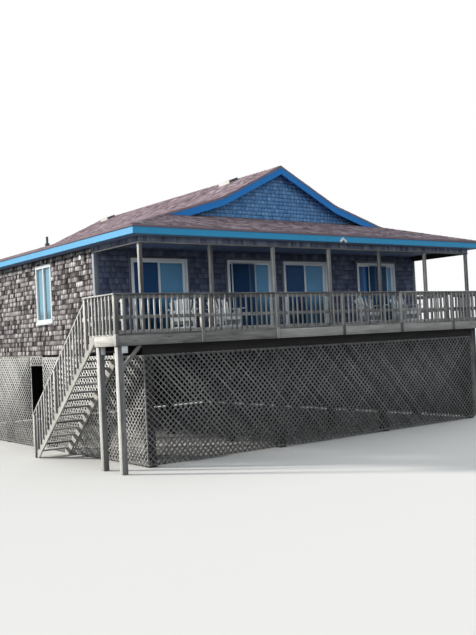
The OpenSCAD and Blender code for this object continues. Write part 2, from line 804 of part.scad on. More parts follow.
// A shape and its mirror image across the middle of the roof's length
module both_ends() {
    children();
    translate([0, rear_eave - eave, 0]) mirror([0, 1, 0]) children();
}

module roof_left() color("#7a5550") placed() roof_side();

module roof_right() color("#7a5550") placed() translate([line_w, 0, 0]) mirror([1, 0, 0]) roof_side();

module roof_front() color("#7a5550") placed() roof_hip();

module roof_rear() color("#7a5550") placed()
    translate([0, rear_eave - eave, 0]) mirror([0, 1, 0]) roof_hip();

// The roof's underside across the house, from one point to its mirror image
function under_line(x0, drop) = [[x0, roof_under(x0 + eave) - drop],
    [line_w / 2 - upper_half, roof_under(break_run) - drop], [line_w / 2, roof_under(run) - drop],
    [line_w / 2 + upper_half, roof_under(break_run) - drop], [line_w - x0, roof_under(x0 + eave) - drop]];

module gable_walls() color("#5f7488") placed() both_ends()
    along_y(gablet_y + gablet_set, gablet_y + gablet_set + gable_t)
        polygon(concat([[line_w - gable_foot, plate_z + ceiling_t], [gable_foot, plate_z + ceiling_t]],
            under_line(gable_foot, 0)));

module barge_boards() color("#1f6fb0") placed() both_ends() {
    // The ends die on the hip slope in front of the gablet
    tip = gablet_y + fascia_t + (roof_t + 2 * barge_seat) / low_pitch;
    low_x = tip + barge_h / low_pitch;
    foot_z = roof_under(tip + eave) - barge_seat;
    kink_z = roof_under(break_run) - barge_h;
    along_y(gablet_y, gablet_y + fascia_t)
        polygon(concat(under_line(tip, barge_seat),
            [[line_w - low_x, foot_z], [line_w / 2 + upper_half, kink_z], [line_w / 2, roof_under(run) - barge_h],
                [line_w / 2 - upper_half, kink_z], [low_x, foot_z]]));
}

// Height of the roof's upper surface, from the distance right of the left porch post
function roof_over(x) = roof_under(x + eave) + roof_t;

// Two box vents beside the ridge
module roof_vents() color("#d8d8d6") placed()
    for (y = vent_y)
        let (x0 = line_w / 2 - vent_down, x1 = x0 + vent_w)
            along_y(y - vent_l / 2, y + vent_l / 2)
                polygon([[x0, roof_over(x0)], [x1, roof_over(x1)], [x1, roof_over(x1) + vent_top_h],
                    [x0, roof_over(x0) + vent_h]]);

module vent_pipe() color("#3a3f42") placed() {
    z0 = roof_over(pipe_x);
    side = 2 * collar_d;
    difference() {
        translate([pipe_x, pipe_y, z0 - pipe_seat]) {
            cylinder(h = pipe_seat + pipe_h, d = pipe_d, $fn = 32);
            cylinder(h = pipe_seat + collar_h, d = collar_d, $fn = 32);
        }
        translate([pipe_x, pipe_y, z0 + collar_h]) cylinder(h = pipe_h, d = pipe_d - 2 * pipe_wall, $fn = 32);
        along_y(pipe_y - side, pipe_y + side)
            polygon([[pipe_x - side, roof_over(pipe_x - side)], [pipe_x + side, roof_over(pipe_x + side)],
                [pipe_x + side, z0 - 2 * side], [pipe_x - side, z0 - 2 * side]]);
    }
}

// A pair of floodlights on the front fascia and a small lamp on the left wall
module porch_lamps() color("#f0f0ee") placed() {
    translate([flood_x, -eave, plate_z + flood_up]) {
        rotate([90, 0, 0]) cylinder(h = 0.75 * flood_d, d = 0.9 * flood_d, $fn = 32);
        for (s = [-1, 1])
            translate([0, -flood_d / 2, 0]) rotate([0, s * flood_turn, 0]) translate([0, 0, -flood_l])
                cylinder(h = flood_l, d1 = flood_d, d2 = flood_d / 2, $fn = 32);
    }
    translate([-hp, porch_d + lamp_back, plate_z - lamp_drop]) rotate([0, -90, 0])
        cylinder(h = lamp_out, d = lamp_d, $fn = 32);
}

// A slatted garden chair that faces -Y, with its seat's front edge over the origin
module chair() {
    // Boards that meet are let into each other by this much
    let_in = 4;
    half = seat_w / 2;
    rail_depth = 105;
    rear_z = 80;
    fall = (seat_h - rear_z) / chair_l;
    leg_y = 50;
    leg_w = 90;
    back_y = 430;
    back_z = seat_h - back_y * fall - slat_t;
    cross_h = 60;
    cross_top = (arm_h - slat_t + let_in - back_z + (slat_t - let_in) * sin(back_lean)) / cos(back_lean);
    both_hands() {
        along_x(half - slat_t, half)
            polygon([[0, seat_h - rail_depth], [chair_l - rear_z, 0], [chair_l, 0], [chair_l, rear_z],
                [0, seat_h]]);
        box([half - let_in, leg_y, 0], [half + slat_t, leg_y + leg_w, arm_h - slat_t + let_in]);
        box([half - 2 * let_in, -arm_w / 4, arm_h - slat_t],
            [half - 2 * let_in + arm_w, 0.74 * chair_l, arm_h]);
    }
    box([-half - slat_t / 2, -slat_t, seat_h - rail_depth + slat_t], [half + slat_t / 2, let_in, seat_h]);
    box([-half - let_in, leg_y + slat_t / 2, rear_z],
        [half + let_in, leg_y + 1.5 * slat_t, rear_z + leg_w / 2]);
    along_x(-half + slat_t / 2, half - slat_t / 2)
        polygon([[-slat_t, seat_h - let_in], [back_y, seat_h - let_in - back_y * fall],
            [back_y, seat_h + slat_t - back_y * fall], [-slat_t, seat_h + slat_t]]);
    translate([0, back_y, back_z]) rotate([-back_lean, 0, 0]) {
        pitch = seat_w / (back_slats + 1);
        for (i = [0:back_slats - 1])
            let (k = i - (back_slats - 1) / 2, drop = fan_drop * k * k)
                translate([k * pitch, 0, 0]) rotate([0, k * fan_turn, 0])
                    translate([-0.42 * pitch, 0, 0]) cube([0.84 * pitch, slat_t, back_l - drop]);
        box([-half + let_in, slat_t - let_in, let_in], [half - let_in, 2 * slat_t, let_in + cross_h]);
        box([-half - arm_w / 2, slat_t - let_in, cross_top - cross_h],
            [half + arm_w / 2, 2 * slat_t, cross_top]);
    }
}

// A shape and its mirror image across X = 0
module both_hands() {
    children();
    mirror([1, 0, 0]) children();
}

module porch_chairs() color("#eef0ef") placed()
    for (c = chairs)
        translate([c[0], c[1], deck_h]) rotate([0, 0, c[2]]) chair();

piles();
floor_girders();
house_floor();
landing_posts();
deck_joists();
deck_rims();
decking();
stair_stringers();
stair_treads();
stair_rail();
front_rail();
side_rails();
rail_posts();
rail_caps();
front_lattice();
left_lattice_front();
left_lattice_rear();
right_lattice();
rear_lattice();
porch_posts();
porch_header();
wall_piers();
wall_lintel();
left_wall();
right_wall();
rear_wall();
window_frames();
window_glass();
door_frames();
fixed_sashes();
fixed_glass();
slider_sash(0);  // door_1_sash
slider_glass(0);  // door_1_glass
slider_sash(1);  // door_2_sash
slider_glass(1);  // door_2_glass
slider_sash(2);  // door_3_sash
slider_glass(2);  // door_3_glass
slider_sash(3);  // door_4_sash
slider_glass(3);  // door_4_glass
ceiling();
fascia_boards();
roof_left();
roof_right();
roof_front();
roof_rear();
gable_walls();
barge_boards();
roof_vents();
vent_pipe();
porch_lamps();
porch_chairs();
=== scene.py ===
"""The looks of a weathered beach house on piles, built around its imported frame.

Lengths are metres. Shapes are worked out in the house's own frame (X from the left porch post, Y back from
the porch posts, Z from the ground), and piece() moves them into the row frame. Across one plane, u runs
along the courses or boards, v up them and w out of the surface.
"""
import json
import logging
import math
from collections.abc import Callable, Sequence
from dataclasses import dataclass, field
from enum import Enum

import bpy
import numpy as np
from mathutils import Matrix

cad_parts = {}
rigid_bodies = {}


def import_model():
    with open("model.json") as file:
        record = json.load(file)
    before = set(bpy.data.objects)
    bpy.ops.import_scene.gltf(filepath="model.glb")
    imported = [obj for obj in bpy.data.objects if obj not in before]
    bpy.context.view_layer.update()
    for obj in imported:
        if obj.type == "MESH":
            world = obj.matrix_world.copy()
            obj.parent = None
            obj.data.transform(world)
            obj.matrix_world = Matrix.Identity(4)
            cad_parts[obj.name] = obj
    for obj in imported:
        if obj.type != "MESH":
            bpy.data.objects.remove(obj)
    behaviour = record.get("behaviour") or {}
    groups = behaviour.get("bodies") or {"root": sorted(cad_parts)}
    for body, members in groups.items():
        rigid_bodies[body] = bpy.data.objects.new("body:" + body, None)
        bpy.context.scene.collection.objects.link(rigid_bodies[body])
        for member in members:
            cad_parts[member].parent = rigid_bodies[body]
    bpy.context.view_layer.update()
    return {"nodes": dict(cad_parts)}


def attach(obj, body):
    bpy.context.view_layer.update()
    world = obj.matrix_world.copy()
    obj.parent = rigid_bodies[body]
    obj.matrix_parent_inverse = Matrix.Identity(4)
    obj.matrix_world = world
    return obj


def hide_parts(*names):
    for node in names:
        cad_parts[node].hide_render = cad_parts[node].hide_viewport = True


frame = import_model()

LOG = logging.getLogger("beach_house")
Array = np.ndarray
Material = bpy.types.Material
Socket = bpy.types.NodeSocket
SEED = 7


class Grain(Enum):
    """The way the grain of a piece of wood runs."""

    X = 0
    Y = 1
    Z = 2
    BOARD = 3
    SLOPE = 4


@dataclass(frozen=True)
class House:
    """Driving sizes of the house, as its frame has them."""

    post_step: float = 2.032
    bays: int = 6
    depth: float = 15.11
    porch: float = 2.2
    half_post: float = 0.045
    deck: float = 3.152
    ceiling: float = 2.3
    skirt: float = 0.45
    eave_out: float = 0.385
    fascia_h: float = 0.175
    fascia_t: float = 0.038
    roof_t: float = 0.04
    lip: float = 0.02
    low_pitch: float = 0.295
    high_pitch: float = 0.49
    upper_half: float = 2.175
    gablet: float = 1.835
    gablet_set: float = 0.35
    header: float = 2.132
    board: float = 0.038
    rim: float = 0.235
    front_out: float = 0.46
    side_out: float = 0.974
    landing: float = 0.855
    rear_eave: float = 15.45
    cap_out: float = 0.055
    riser: float = 0.197
    going: float = 0.229
    door_head: float = 2.03
    sill: float = 0.50
    window_head: float = 2.106
    top_gap: float = 0.01

    @property
    def width(self) -> float:
        """From the first porch post to the last."""
        return self.post_step * self.bays

    @property
    def plate(self) -> float:
        """Height of the wall plates and of the soffit."""
        return self.deck + self.ceiling

    @property
    def eave(self) -> float:
        """Height of the roof's underside at the fascia's face."""
        return self.plate + self.fascia_h

    @property
    def run(self) -> float:
        """From the fascia's face in to the ridge."""
        return self.width / 2 + self.eave_out

    @property
    def break_run(self) -> float:
        """From the fascia's face in to the change of pitch."""
        return self.run - self.upper_half

    @property
    def middle_y(self) -> float:
        """The line that the roof is the same on both sides of, front to back."""
        return (self.rear_eave - self.eave_out) / 2

    @property
    def faces(self) -> tuple[float, float]:
        """Where the faces of the left and right walls are along X."""
        return -self.half_post, self.width + self.half_post

    def mirror_x(self, x: float | Array, right: bool) -> float | Array:
        """A place along X, or its mirror image on the right."""
        return self.width - x if right else x

    def mirror_y(self, y: float | Array, rear: bool) -> float | Array:
        """A place along Y, or its mirror image behind the roof's middle."""
        return 2 * self.middle_y - y if rear else y

    def under(self, run: float) -> float:
        """Height of the roof's underside: the low pitch to the break, and then the high one."""
        low = min(run, self.break_run) * self.low_pitch
        return self.eave + low + max(run - self.break_run, 0.0) * self.high_pitch


HOUSE = House()
FRONT_EDGE = HOUSE.front_out + HOUSE.cap_out
ORIGIN = np.array([HOUSE.width / 2, (HOUSE.rear_eave + HOUSE.lip - FRONT_EDGE) / 2, 0.0])
# Each board or shingle reads its own stretch of grain, up to this many metres along
GRAIN_SHIFT = 30
# Painted sunlight on a face that looks up, as a share of that on a face that looks left toward the key lamp
SKYWARD = 0.6
# A chamfer takes no more than this share of a board's least size
CHAMFER_SHARE = 0.3
# What a cut leaves of a shingle falls away where it is narrower or lower than this
SLIVER = 0.006


def linear(text: str) -> tuple[float, float, float, float]:
    """Linear colour of a hex one: each channel c is c / 12.92, or ((c + 0.055) / 1.055) to the power 2.4.

    Args:
        text: the colour as #rrggbb.

    Returns:
        Red, green and blue as shader values, and an alpha of 1.
    """
    c = np.array([int(text[i:i + 2], 16) for i in (1, 3, 5)]) / 255
    values = np.where(c <= 0.04045, c / 12.92, ((c + 0.055) / 1.055) ** 2.4)
    return (float(values[0]), float(values[1]), float(values[2]), 1.0)


class Nodes:
    """Writes the shader nodes of one material."""

    def __init__(self, name: str, roughness: float = 0.8, specular: float = 0.3) -> None:
        """Makes a material with one Principled shader.

        Args:
            name: the material's name.
            roughness: the shader's roughness.
            specular: the shader's specular level.
        """
        self.material = bpy.data.materials.new(name)
        self.material.use_nodes = True
        self.tree = self.material.node_tree
        self.shader = self.tree.nodes["Principled BSDF"]
        self.shader.inputs["Roughness"].default_value = roughness
        self.shader.inputs["Specular IOR Level"].default_value = specular

    def add(self, kind: str, **inputs: object) -> bpy.types.Node:
        """A new node, with each named input linked to a socket or set to a value.

        Args:
            kind: the node's type name without ShaderNode.
            inputs: input names, with _ for a space, and their values.

        Returns:
            The node.
        """
        node = self.tree.nodes.new("ShaderNode" + kind)
        for name, value in inputs.items():
            self.put(node.inputs[name.replace("_", " ")], value)
        return node

    def put(self, socket: Socket, value: object) -> None:
        """Links a socket to another, or sets its value."""
        if isinstance(value, bpy.types.NodeSocket):
            self.tree.links.new(value, socket)
        else:
            socket.default_value = value

    def math(self, kind: str, a: object, b: object = 0.0, clamp: bool = False) -> Socket:
        """One arithmetic step on two numbers.

        Args:
            kind: the Math node's operation.
            a: a socket or a number.
            b: the second one, where the operation takes it.
            clamp: whether the result is kept from 0 to 1.

        Returns:
            The result.
        """
        node = self.tree.nodes.new("ShaderNodeMath")
        node.operation, node.use_clamp = kind, clamp
        self.put(node.inputs[0], a)
        self.put(node.inputs[1], b)
        return node.outputs[0]

    def mix(self, share: object, a: object, b: object, kind: str = "MIX") -> Socket:
        """A blend of two colours, which are the node's inputs 6 and 7 and its output 2."""
        node = self.tree.nodes.new("ShaderNodeMix")
        node.data_type, node.blend_type = "RGBA", kind
        self.put(node.inputs[0], share)
        self.put(node.inputs[6], a)
        self.put(node.inputs[7], b)
        return node.outputs[2]

    def ramp(self, share: Socket, stops: Sequence[tuple[float, str]]) -> Socket:
        """Colours along a number from 0 to 1. Places come first, because a ramp sorts its stops by them."""
        node = self.add("ValToRGB", Fac=share)
        items = node.color_ramp.elements
        for place, _ in stops[2:]:
            items.new(place)
        for item, (place, _) in zip(items, stops):
            item.position = place
        for item, (_, colour) in zip(items, stops):
            item.color = linear(colour)
        return node.outputs[0]

    def place(self, grain: Grain, along: float, across: float, pitch: float = 0.0) -> Socket:
        """Pattern coordinates that are short along the grain and long across it.

        Args:
            grain: the way the grain runs; BOARD reads the piece's own UV map.
            along: pattern units in a metre along the grain.
            across: pattern units in a metre across it.
            pitch: the grain's slope for SLOPE, in radians about X.

        Returns:
            The vector.
        """
        scale = [across] * 3
        if grain is Grain.BOARD:
            source, scale[0] = self.add("UVMap").outputs[0], along
        else:
            source = self.objects()
            scale[1 if grain is Grain.SLOPE else grain.value] = along
        node = self.add("Mapping", Vector=source, Scale=scale)
        if grain is Grain.SLOPE:
            turn = self.add("Mapping", Vector=source, Rotation=(pitch, 0, 0))
            self.put(node.inputs["Vector"], turn.outputs[0])
        return node.outputs[0]

    def objects(self) -> Socket:
        """The object's own coordinates, in metres."""
        return self.add("TexCoord").outputs["Object"]

    def noise(self, vector: Socket, scale: float, detail: float = 4.0, rough: float = 0.55) -> Socket:
        """Fractal noise from 0 to 1."""
        return self.add("TexNoise", Vector=vector, Scale=scale, Detail=detail, Roughness=rough).outputs[0]

    def fibres(self, grain: Grain, along: float, across: float, detail: float, rough: float = 0.55,
               pitch: float = 0.0) -> Socket:
        """Noise drawn out along the grain, with the sizes that place() takes."""
        return self.noise(self.place(grain, along, across, pitch), 1.0, detail, rough)

    def nudge(self, share: object, value: Socket, middle: float, depth: float, clamp: bool = False) -> Socket:
        """A share moved by a value's distance from its middle: share + (value - middle) x depth."""
        lift = self.math("MULTIPLY", self.math("SUBTRACT", value, middle), depth)
        return self.math("ADD", share, lift, clamp)

    def above(self, value: Socket, start: float, gain: float) -> Socket:
        """How far a value is past a start: (value - start) x gain, from 0 to 1."""
        return self.math("MULTIPLY", self.math("SUBTRACT", value, start), gain, clamp=True)

    def attribute(self, name: str) -> Socket:
        """A number kept on the mesh, or 0 on a piece that hasn't got it."""
        node = self.tree.nodes.new("ShaderNodeAttribute")
        node.attribute_name = name
        return node.outputs["Fac"]

    def tone(self) -> Socket:
        """The tone of each board or shingle, from -1 to 1."""
        return self.attribute("tone")

    def paint_sunlight(self, share: Socket, depth: float) -> Socket:
        """A share raised on the faces that look left or up, toward the key lamp, and lowered on the others:
        painted sunlight and shade.
        """
        return self.nudge(share, self.attribute("sun"), 0.3, depth)

    def axis(self, name: str) -> Socket:
        """One of the object's own coordinates, in metres."""
        return self.add("SeparateXYZ", Vector=self.objects()).outputs[name]

    def band(self, value: Socket, low: float, high: float) -> Socket:
        """0 below one value, 1 above another and a straight line between: (value - low) / (high - low)."""
        return self.math("DIVIDE", self.math("SUBTRACT", value, low), high - low, clamp=True)

    def darken(self, colour: Socket, share: Socket, depth: float) -> Socket:
        """The colour times 1 - depth x share."""
        keep = self.math("SUBTRACT", 1.0, self.math("MULTIPLY", share, depth))
        return self.mix(1.0, colour, self.add("CombineXYZ", X=keep, Y=keep, Z=keep).outputs[0], "MULTIPLY")

    def relief(self, height: Socket, depth: float, strength: float = 1.0) -> None:
        """Bump on the shader, of a real depth in metres."""
        node = self.add("Bump", Height=height, Distance=depth, Strength=strength)
        self.put(self.shader.inputs["Normal"], node.outputs[0])

    def colour(self, value: object) -> None:
        """Sets the shader's base colour."""
        self.put(self.shader.inputs["Base Color"], value)


@dataclass(frozen=True)
class Timber:
    """Weathered timber: silvered fibres, darker streaks, knots, a tone for each board, and painted sunlight and
    shade by the way each face looks.
    """

    name: str
    light: str
    middle: str
    dark: str
    grain: Grain = Grain.BOARD
    spread: float = 0.30
    pitch: float = 0.0
    painted_sunlight: float = 0.32

    def material(self) -> Material:
        """Fibres are noise drawn out along the grain, over broad stains, with round knots and drying checks."""
        n = Nodes(self.name, 0.82, 0.22)
        fibre = n.fibres(self.grain, 1.6, 55.0, 5.0, 0.62, self.pitch)
        fine = n.fibres(self.grain, 5.0, 320.0, 2.0, pitch=self.pitch)
        stain = n.fibres(self.grain, 0.7, 5.0, 3.0, pitch=self.pitch)
        knots = n.add("TexVoronoi", Vector=n.place(self.grain, 1.3, 7.0, self.pitch), Scale=1.0)
        knot = n.math("SUBTRACT", 1.0, n.math("MULTIPLY", knots.outputs["Distance"], 6.5), clamp=True)
        share = n.math("ADD", n.math("MULTIPLY", fibre, 0.55), n.math("MULTIPLY", stain, 0.45))
        # Faces toward the key lamp are made lighter and the rest darker: painted sunlight and shade
        share = n.math("ADD", n.paint_sunlight(share, self.painted_sunlight), n.math("MULTIPLY", n.tone(), self.spread * 0.5))
        share = n.math("SUBTRACT", share, n.math("MULTIPLY", knot, 0.22), clamp=True)
        colour = n.ramp(share, ((0.22, self.dark), (0.52, self.middle), (0.78, self.light)))
        check = n.band(n.fibres(self.grain, 0.9, 90.0, 2.0, 0.4, self.pitch), 0.35, 0.28)
        colour = n.darken(n.darken(colour, n.band(fine, 0.75, 0.25), 0.28), check, 0.6)
        n.colour(colour)
        height = n.math("ADD", fibre, n.math("MULTIPLY", fine, 0.5))
        n.relief(n.math("SUBTRACT", height, n.math("MULTIPLY", check, 0.8)), 0.0035, 0.6)
        return n.material


@dataclass(frozen=True)
class Shakes:
    """Cedar shingles left to weather: each its own grey or brown, with split grain and damp stains."""

    name: str
    tones: tuple[tuple[float, str], ...]
    damp: str
    damp_share: float = 0.45
    depth: float = 0.004
    # joint sets how deep the painted shade, with some dirt, is along each butt line
    joint: float = 0.5
    flat: float = 0.5
    streaks: float = 0.9

    def material(self) -> Material:
        """The tone picks the colour, grain runs up each shingle, and damp darkens broad patches.

        A shingle's rise is 0 at its butt and 1 at its head: painted light makes it lighter near the butt, and
        painted shade, with some dirt, darkens its butt face and the band under the next butt.
        """
        n = Nodes(self.name, 0.9, 0.15)
        grain = n.fibres(Grain.BOARD, 3.0, 85.0, 4.0, 0.65)
        rise = n.attribute("rise")
        patch = n.noise(n.objects(), 0.9, 3.0)
        share = n.math("ADD", 0.5, n.math("MULTIPLY", n.tone(), self.flat))
        share = n.nudge(share, grain, 0.5, self.streaks)
        # Lighter near the butt and darker toward the head: painted light and shade
        share = n.math("SUBTRACT", share, n.math("MULTIPLY", rise, 0.22), clamp=True)
        colour = n.ramp(share, self.tones)
        colour = n.mix(n.above(patch, 0.42, 3.5 * self.damp_share), colour, linear(self.damp))
        # Darker on the butt face and just under the next butt: painted shade, with some dirt
        edge = n.math("MAXIMUM", n.band(rise, 0.62, 0.88), n.band(rise, 0.05, 0.0))
        n.colour(n.darken(colour, edge, self.joint))
        n.relief(grain, self.depth, 0.8)
        return n.material


@dataclass(frozen=True)
class Asphalt:
    """Laminated asphalt shingles: mineral granules over a tone for each tab, with streaks of wear."""

    name: str = "asphalt_shingles"
    tones: tuple[tuple[float, str], ...] = (
        (0.0, "#604f55"), (0.3, "#827176"), (0.6, "#9a898f"), (0.85, "#b1a1a7"), (1.0, "#c8bbc0"))

    def material(self) -> Material:
        """Granules are fine noise on the tab's tone; a broad noise fades the sunniest stretches."""
        n = Nodes(self.name, 0.95, 0.12)
        grit = n.noise(n.objects(), 190.0, 2.0, 0.7)
        patch = n.noise(n.objects(), 0.6, 3.0)
        share = n.math("ADD", 0.45, n.math("MULTIPLY", n.tone(), 0.42))
        share = n.nudge(share, grit, 0.5, 0.8)
        share = n.nudge(share, patch, 0.5, 0.35, clamp=True)
        n.colour(n.ramp(share, self.tones))
        n.relief(grit, 0.0015, 0.5)
        return n.material


@dataclass(frozen=True)
class Paint:
    """Paint on trim: an even colour with chalking, dirt that runs down, and fine brush marks."""

    name: str
    colour: str
    chalk: str
    dirt: str
    wear: float = 0.35
    rough: float = 0.5

    def material(self) -> Material:
        """Chalking is broad noise and dirt is noise drawn out downwards."""
        n = Nodes(self.name, self.rough, 0.35)
        chalk = n.noise(n.objects(), 2.3, 4.0)
        runs = n.fibres(Grain.Z, 1.5, 22.0, 3.0)
        brush = n.noise(n.objects(), 60.0, 2.0)
        base = n.mix(n.above(chalk, 0.45, 2.2 * self.wear), linear(self.colour), linear(self.chalk))
        n.colour(n.mix(n.above(runs, 0.58, 2.5 * self.wear), base, linear(self.dirt)))
        n.relief(brush, 0.0006, 0.4)
        return n.material


@dataclass(frozen=True)
class Glass:
    """Window glass whose colours are a painted reflection of sky and a dim blue room, with a little light
    through it.

    The pane reaches from low to high. Its painted reflection turns over the foot's height and, by a share, the
    crown's.
    """

    name: str
    middle: str
    ends: str
    low: float
    high: float
    clear: float = 0.08
    foot: float = 1.2
    crown: float = 0.2
    crown_h: float = 0.2
    painted_sky_tint: tuple[float, float, float, float] = (0.25, 0.55, 1.0, 1.0)
    folds: tuple[float, str] | None = None

    def material(self) -> Material:
        """The painted reflection turns to the ends colour near the pane's foot and head, and folds of a blind
        show past a place along X.
        """
        n = Nodes(self.name, 0.04, 0.2)
        # A blue tint on the glass's real reflections: painted sky
        n.shader.inputs["Specular Tint"].default_value = self.painted_sky_tint
        height = n.axis("Z")
        head = n.math("MULTIPLY", n.band(height, self.high - self.crown_h, self.high), self.crown)
        edge = n.math("MAXIMUM", n.band(height, self.low + self.foot, self.low + 0.5 * self.foot), head)
        ripple = n.noise(n.objects(), 1.4, 1.0)
        share = n.math("ADD", n.math("MULTIPLY", edge, 0.7), n.math("MULTIPLY", ripple, 0.3), clamp=True)
        colour = n.mix(share, linear(self.middle), linear(self.ends))
        if self.folds:
            start, light = self.folds
            across = n.axis("X")
            waves = n.noise(n.add("CombineXYZ", X=n.math("MULTIPLY", across, 5.0)).outputs[0], 1.0, 2.0)
            folds = n.math("MULTIPLY", n.band(waves, 0.46, 0.66), n.band(across, start, start + 0.02))
            colour = n.mix(folds, colour, linear(light))
        n.colour(colour)
        n.shader.inputs["Transmission Weight"].default_value = self.clear
        n.relief(ripple, 0.002, 0.15)
        return n.material


@dataclass(frozen=True)
class Net:
    """Fine insect mesh that dims what is behind it."""

    name: str
    colour: str
    shadow: str
    cover: float = 0.45
    threads: float = 3900.0

    def material(self) -> Material:
        """A see-through dull sheet with the mesh's threads as two crossed waves of relief."""
        n = Nodes(self.name, 0.9, 0.1)
        waves = [n.math("SINE", n.math("MULTIPLY", n.axis(a), self.threads)) for a in ("X", "Z")]
        n.colour(n.mix(n.noise(n.objects(), 3.0), linear(self.colour), linear(self.shadow)))
        n.shader.inputs["Alpha"].default_value = self.cover
        n.relief(n.math("MULTIPLY", waves[0], waves[1]), 0.0004, 0.4)
        return n.material


@dataclass(frozen=True)
class Metal:
    """Thin painted metal with a dull bloom and specks of rust."""

    name: str
    colour: str
    bloom: str
    rust: str = "#6d4b36"
    rough: float = 0.45

    def material(self) -> Material:
        """Bloom is broad noise, and rust sits where a finer noise peaks."""
        n = Nodes(self.name, self.rough, 0.4)
        bloom = n.noise(n.objects(), 6.0, 3.0)
        speck = n.above(n.noise(n.objects(), 45.0, 3.0), 0.66, 6.0)
        base = n.mix(bloom, linear(self.colour), linear(self.bloom))
        n.colour(n.mix(speck, base, linear(self.rust)))
        n.relief(bloom, 0.0008, 0.4)
        return n.material


@dataclass
class Shape:
    """One mesh as whole arrays: points, and blocks of faces of one size with UVs, tones and rises."""

    points: Array
    faces: list[Array]
    uvs: list[Array]
    tones: list[Array]
    rises: list[Array] = field(default_factory=list)

    @staticmethod
    def join(shapes: "Sequence[Shape]") -> "Shape":
        """All the shapes as one, with each one's face numbers moved past the points before it."""
        starts = np.cumsum([0] + [len(s.points) for s in shapes])
        faces = [f + start for s, start in zip(shapes, starts) for f in s.faces]
        return Shape(np.concatenate([s.points for s in shapes]), faces, [u for s in shapes for u in s.uvs],
                     [t for s in shapes for t in s.tones], [r for s in shapes for r in s.rises])


def put_in_scene(name: str, data: bpy.types.ID) -> bpy.types.Object:
    """A new object of some data, in the scene."""
    obj = bpy.data.objects.new(name, data)
    bpy.context.scene.collection.objects.link(obj)
    return obj


def piece(name: str, shape: Shape, finish: Material, body: str = "house",
          replaces: Sequence[str] = ()) -> None:
    """Makes a finished mesh object that rides on a body.

    Args:
        name: the piece's name.
        shape: its points and faces, in the house frame.
        finish: its material.
        body: the body that it moves with.
        replaces: the frame's nodes that it stands for.
    """
    mesh = bpy.data.meshes.new(name)
    points = (shape.points - ORIGIN).astype(np.float32)
    loops = np.concatenate([f.ravel() for f in shape.faces])
    sizes = np.concatenate([np.full(len(f), f.shape[1]) for f in shape.faces])
    mesh.vertices.add(len(points))
    mesh.vertices.foreach_set("co", points.ravel())
    mesh.loops.add(len(loops))
    mesh.loops.foreach_set("vertex_index", loops.astype(np.int32))
    mesh.polygons.add(len(sizes))
    mesh.polygons.foreach_set("loop_start", (np.cumsum(sizes) - sizes).astype(np.int32))
    mesh.update(calc_edges=True)
    uv = np.concatenate([u.reshape(-1, 2) for u in shape.uvs]).astype(np.float32)
    mesh.uv_layers.new(name="UVMap").data.foreach_set("uv", uv.ravel())
    corners = [[points[f[:, k]] for k in range(3)] for f in shape.faces]
    normals = np.concatenate([np.cross(b - a, c - a) for a, b, c in corners])
    normals = normals / np.maximum(np.linalg.norm(normals, axis=1, keepdims=True), 1e-12)
    # The sun mark is painted sunlight: 1 on faces that look left toward the key lamp, less on faces that look
    # up, 0 on the rest
    marks = [("tone", "FACE", np.concatenate(shape.tones)),
             ("sun", "FACE", np.maximum(-normals[:, 0], SKYWARD * normals[:, 2]).clip(0, 1))]
    if shape.rises:
        marks.append(("rise", "CORNER", np.concatenate([r.ravel() for r in shape.rises])))
    for mark, domain, values in marks:
        mesh.attributes.new(mark, "FLOAT", domain).data.foreach_set("value", values.astype(np.float32))
    mesh.materials.append(finish)
    obj = put_in_scene(name, mesh)
    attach(obj, body)
    if replaces:
        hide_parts(*replaces)
    LOG.info("%s: %d faces on %s", name, len(sizes), body)


def chamfered_box() -> tuple[Array, Array, Array, Array]:
    """The pattern of a box whose every edge is cut off.

    Each of its 8 corners becomes 3 points, one left on each face that meets there. A point's place is its
    corner's signs times the half sizes, less the chamfer on the two axes that its inset row marks.

    Returns:
        Signs (24, 3), insets (24, 3), the 18 four-sided faces and the 8 three-sided ones.
    """
    corners = np.array([[x, y, z] for x in (-1, 1) for y in (-1, 1) for z in (-1, 1)], float)
    signs, insets = np.repeat(corners, 3, axis=0), np.tile(1 - np.eye(3), (8, 1))

    def corner(a: int, *sides: int) -> int:
        """The first point of the corner on these sides of axes a, a + 1 and a + 2."""
        return 3 * sum(4 >> (a + i) % 3 for i, side in enumerate(sides) if side > 0)

    quads, tris = [], [[3 * i, 3 * i + 1, 3 * i + 2] for i in range(8)]
    for a in range(3):
        b, c = (a + 1) % 3, (a + 2) % 3
        for s in (-1, 1):
            quads.append([corner(a, s, *turn) + a for turn in ((-1, -1), (1, -1), (1, 1), (-1, 1))])
            for t in (-1, 1):
                first, last = corner(a, -1, s, t), corner(a, 1, s, t)
                quads.append([first + b, last + b, last + c, first + c])
    # Any small chamfer tells which way a face looks
    points = signs * (1 - 0.2 * insets)
    for faces in (quads, tris):
        for i, f in enumerate(faces):
            p = points[f]
            if np.dot(np.cross(p[1] - p[0], p[2] - p[0]), p.mean(0)) < 0:
                faces[i] = f[::-1]
    return signs, insets, np.array(quads), np.array(tris)


BOX_SIGNS, BOX_INSETS, BOX_QUADS, BOX_TRIS = chamfered_box()


